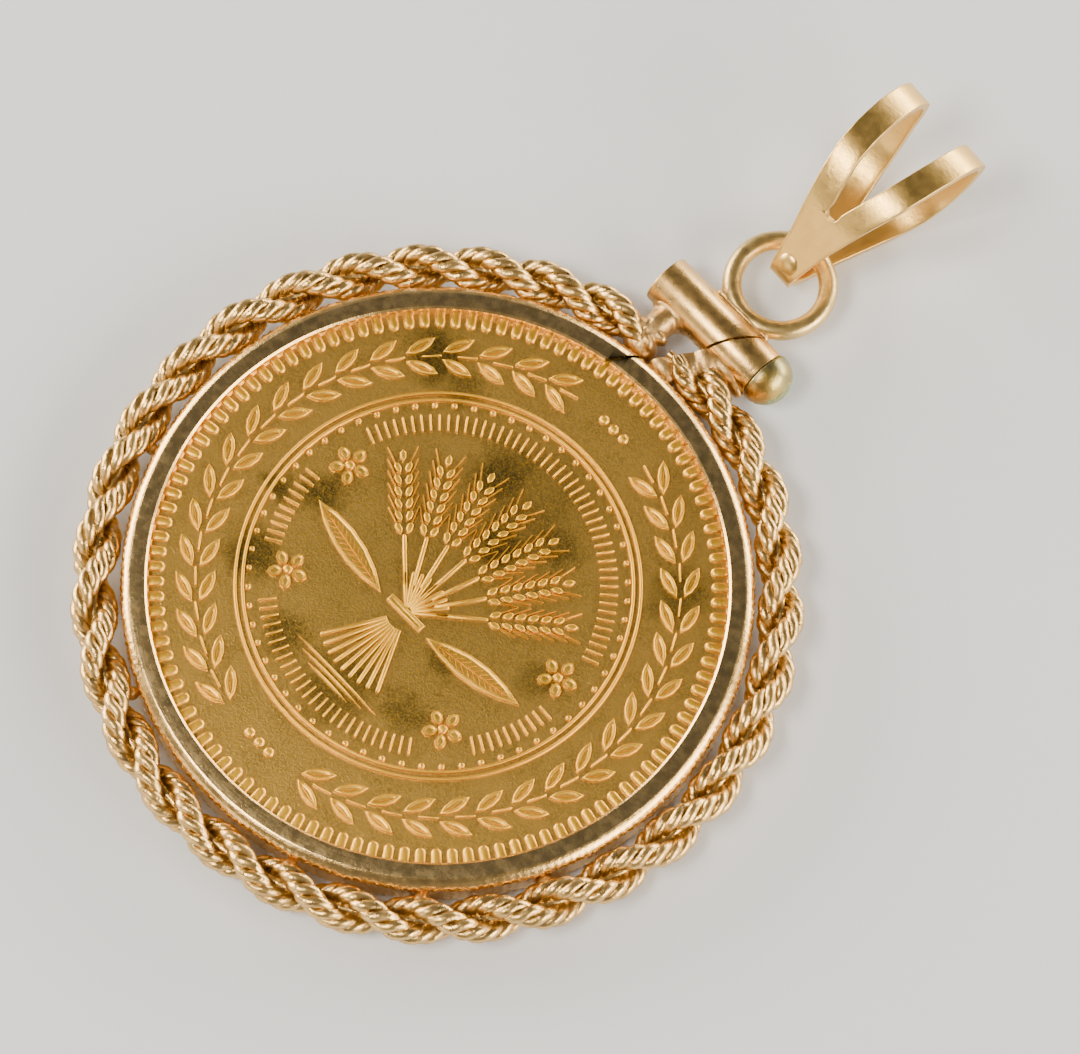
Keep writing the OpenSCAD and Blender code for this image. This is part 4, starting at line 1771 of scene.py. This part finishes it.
    def build(self, bench: Bench, gold: bpy.types.Material) -> None:
        """Make the bail.

        Args:
            bench: Where the bail is set down.
            gold: The bail's finish.
        """
        bm = self.band()
        bmesh.ops.solidify(bm, geom=bm.faces[:], thickness=self.sheet_t)
        bmesh.ops.recalc_face_normals(bm, faces=bm.faces[:])
        sharp = math.radians(self.bevel_degrees)
        edges = [e for e in bm.edges if e.calc_face_angle(0) > sharp and not self.in_arc(e)]
        bmesh.ops.bevel(
            bm, geom=edges, offset=self.soft, offset_type="OFFSET", segments=3, profile=0.5,
            affect="EDGES", clamp_overlap=False, material=-1,
        )
        slope = math.degrees(math.atan2(self.pip_normal[1], self.pip_normal[0])) - 90
        flat = Matrix.Rotation(math.radians(slope), 4, "X") @ Matrix.Diagonal((1.0, 1.0, self.pip_flat, 1.0))
        bmesh.ops.create_uvsphere(
            bm, u_segments=32, v_segments=20, radius=self.pip_r,
            matrix=Matrix.Translation((0, *self.pip_at)) @ flat,
        )
        lift = self.half_width(self.lowest_share * self.length) * math.sin(math.radians(self.roll))
        yaw = Matrix.Rotation(math.radians(-self.yaw), 4, "Z")
        roll = Matrix.Rotation(math.radians(self.roll), 4, "Y")
        lay = Matrix.Translation((-self.tip_left, self.tip_y, lift)) @ yaw @ roll
        bmesh.ops.transform(bm, matrix=lay, verts=bm.verts[:])
        bench.set_down(bm, "bail_sheet", gold, Slot.BAIL, ["bail"], 40.0)


# The studio


@dataclass(frozen=True)
class PhotoCamera:
    """The camera of the photograph, in millimetres from the coin's centre."""

    eye: Triple = (46.31, -48.22, 207.57)
    azimuth: float = 40.9
    elevation: float = 71.4
    roll: float = 6.1
    lens: float = 200.0
    sensor: float = 36.0

    def build(self, bench: Bench) -> None:
        """Set up the camera.

        Args:
            bench: The bench, which knows where the coin is.
        """
        a, e, r = (math.radians(x) for x in (self.azimuth, self.elevation, self.roll))
        ahead = Vector((-math.sin(a) * math.cos(e), math.cos(a) * math.cos(e), -math.sin(e)))
        right = Vector((math.cos(a), math.sin(a), 0))
        up = right.cross(ahead)
        right, up = right * math.cos(r) + up * math.sin(r), up * math.cos(r) - right * math.sin(r)
        data = bpy.data.cameras.new("photo_camera")
        data.lens = self.lens
        data.sensor_width = self.sensor
        data.clip_start = 0.01
        camera = new_object("photo_camera", data)
        turn = Matrix((right, up, -ahead)).transposed().to_4x4()
        camera.matrix_world = Matrix.Translation(bench.centre + Vector(self.eye) * MM) @ turn
        bpy.context.scene.camera = camera


@dataclass(frozen=True)
class SoftBox:
    """One soft light."""

    name: str
    azimuth: float
    elevation: float
    distance: float
    size: Pair
    power: float
    colour: Colour = (1.0, 0.885, 0.68)

    def build(self, aim: Vector) -> None:
        """Hang the light, turned to the pendant.

        Args:
            aim: The point that the light faces.
        """
        data = bpy.data.lights.new(self.name, "AREA")
        data.shape = "RECTANGLE"
        data.size, data.size_y = self.size
        data.energy = self.power
        data.color = self.colour
        light = new_object(self.name, data)
        high = math.radians(self.elevation)
        away = polar(math.cos(high), self.azimuth, math.sin(high))
        light.location = aim + away * self.distance
        light.rotation_euler = away.to_track_quat("Z", "Y").to_euler()


@dataclass
class Studio:
    """A plain pale floor, a soft surround and soft lights."""

    floor_size: float = 3.0
    floor_colour: Colour = (0.75, 0.80, 0.95)
    floor_roughness: float = 0.55
    world: tuple[tuple[float, Colour], ...] = ((0.15, (0.30, 0.29, 0.27)), (0.75, (0.095, 0.092, 0.085)))
    lights: tuple[SoftBox, ...] = (
        SoftBox("soft_left", -166.0, 14.0, 0.30, (0.28, 0.12), 1.7),
        SoftBox("soft_right", 14.0, 24.0, 0.30, (0.26, 0.13), 1.30),
        SoftBox("soft_front", -112.0, 59.0, 0.30, (0.14, 0.08), 0.80),
        SoftBox("soft_low", -98.0, 10.0, 0.32, (0.20, 0.06), 0.13),
        SoftBox("soft_back", 84.0, 14.0, 0.32, (0.36, 0.10), 1.55),
    )

    def floor(self) -> None:
        """Lay the floor."""
        bm = bmesh.new()
        bmesh.ops.create_grid(bm, x_segments=1, y_segments=1, size=self.floor_size / 2)
        mesh = new_mesh(bm, "studio_floor")
        material = bpy.data.materials.new("pale_floor")
        material.use_nodes = True
        shader = material.node_tree.nodes["Principled BSDF"]
        shader.inputs["Base Color"].default_value = (*self.floor_colour, 1.0)
        shader.inputs["Roughness"].default_value = self.floor_roughness
        mesh.materials.append(material)
        new_object("studio_floor", mesh)

    def surround(self) -> None:
        """Light the world: brighter near the horizon, darker overhead."""
        world = bpy.data.worlds.new("studio")
        bpy.context.scene.world = world
        world.use_nodes = True
        tree = world.node_tree
        place = tree.nodes.new("ShaderNodeTexCoord").outputs["Generated"]
        split = tree.nodes.new("ShaderNodeSeparateXYZ")
        tree.links.new(place, split.inputs[0])
        ramp = tree.nodes.new("ShaderNodeValToRGB")
        for stop, (height, colour) in zip(ramp.color_ramp.elements, self.world):
            stop.position = height
            stop.color = (*colour, 1)
        tree.links.new(split.outputs["Z"], ramp.inputs[0])
        background = tree.nodes["Background"]
        tree.links.new(ramp.outputs["Color"], background.inputs["Color"])

    def build(self, bench: Bench) -> None:
        """Set up the studio.

        Args:
            bench: The bench, which knows where the coin is.
        """
        self.floor()
        self.surround()
        for light in self.lights:
            light.build(bench.centre)


def main() -> None:
    """Build the pendant's looks, the camera and the studio."""
    logging.basicConfig(level=logging.INFO, format="%(relativeCreated)6d ms %(message)s")
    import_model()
    low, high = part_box("coin")
    bench = Bench(Vector(((low.x + high.x) / 2, (low.y + high.y) / 2, 0)))
    PhotoCamera().build(bench)
    tube_gold, rim_gold, ring_gold, rope_gold, bail_gold, solder_gold = (
        finish.material(bench.centre) for finish in WORN_GOLDS
    )
    cut = SawCut()
    tube = ScrewTube(cut)
    brass = CrustedBrass().material(bench.centre + tube.head_foot() * MM)
    Coin().build(bench)
    Rim(cut).build(bench, rim_gold)
    tube.build(bench, tube_gold, brass)
    JumpRing().build(bench, ring_gold)
    Rope(cut).build(bench, rope_gold)
    Solder(cut).build(bench, solder_gold)
    Bail().build(bench, bail_gold)
    Studio().build(bench)


if __name__ == "__main__":
    main()
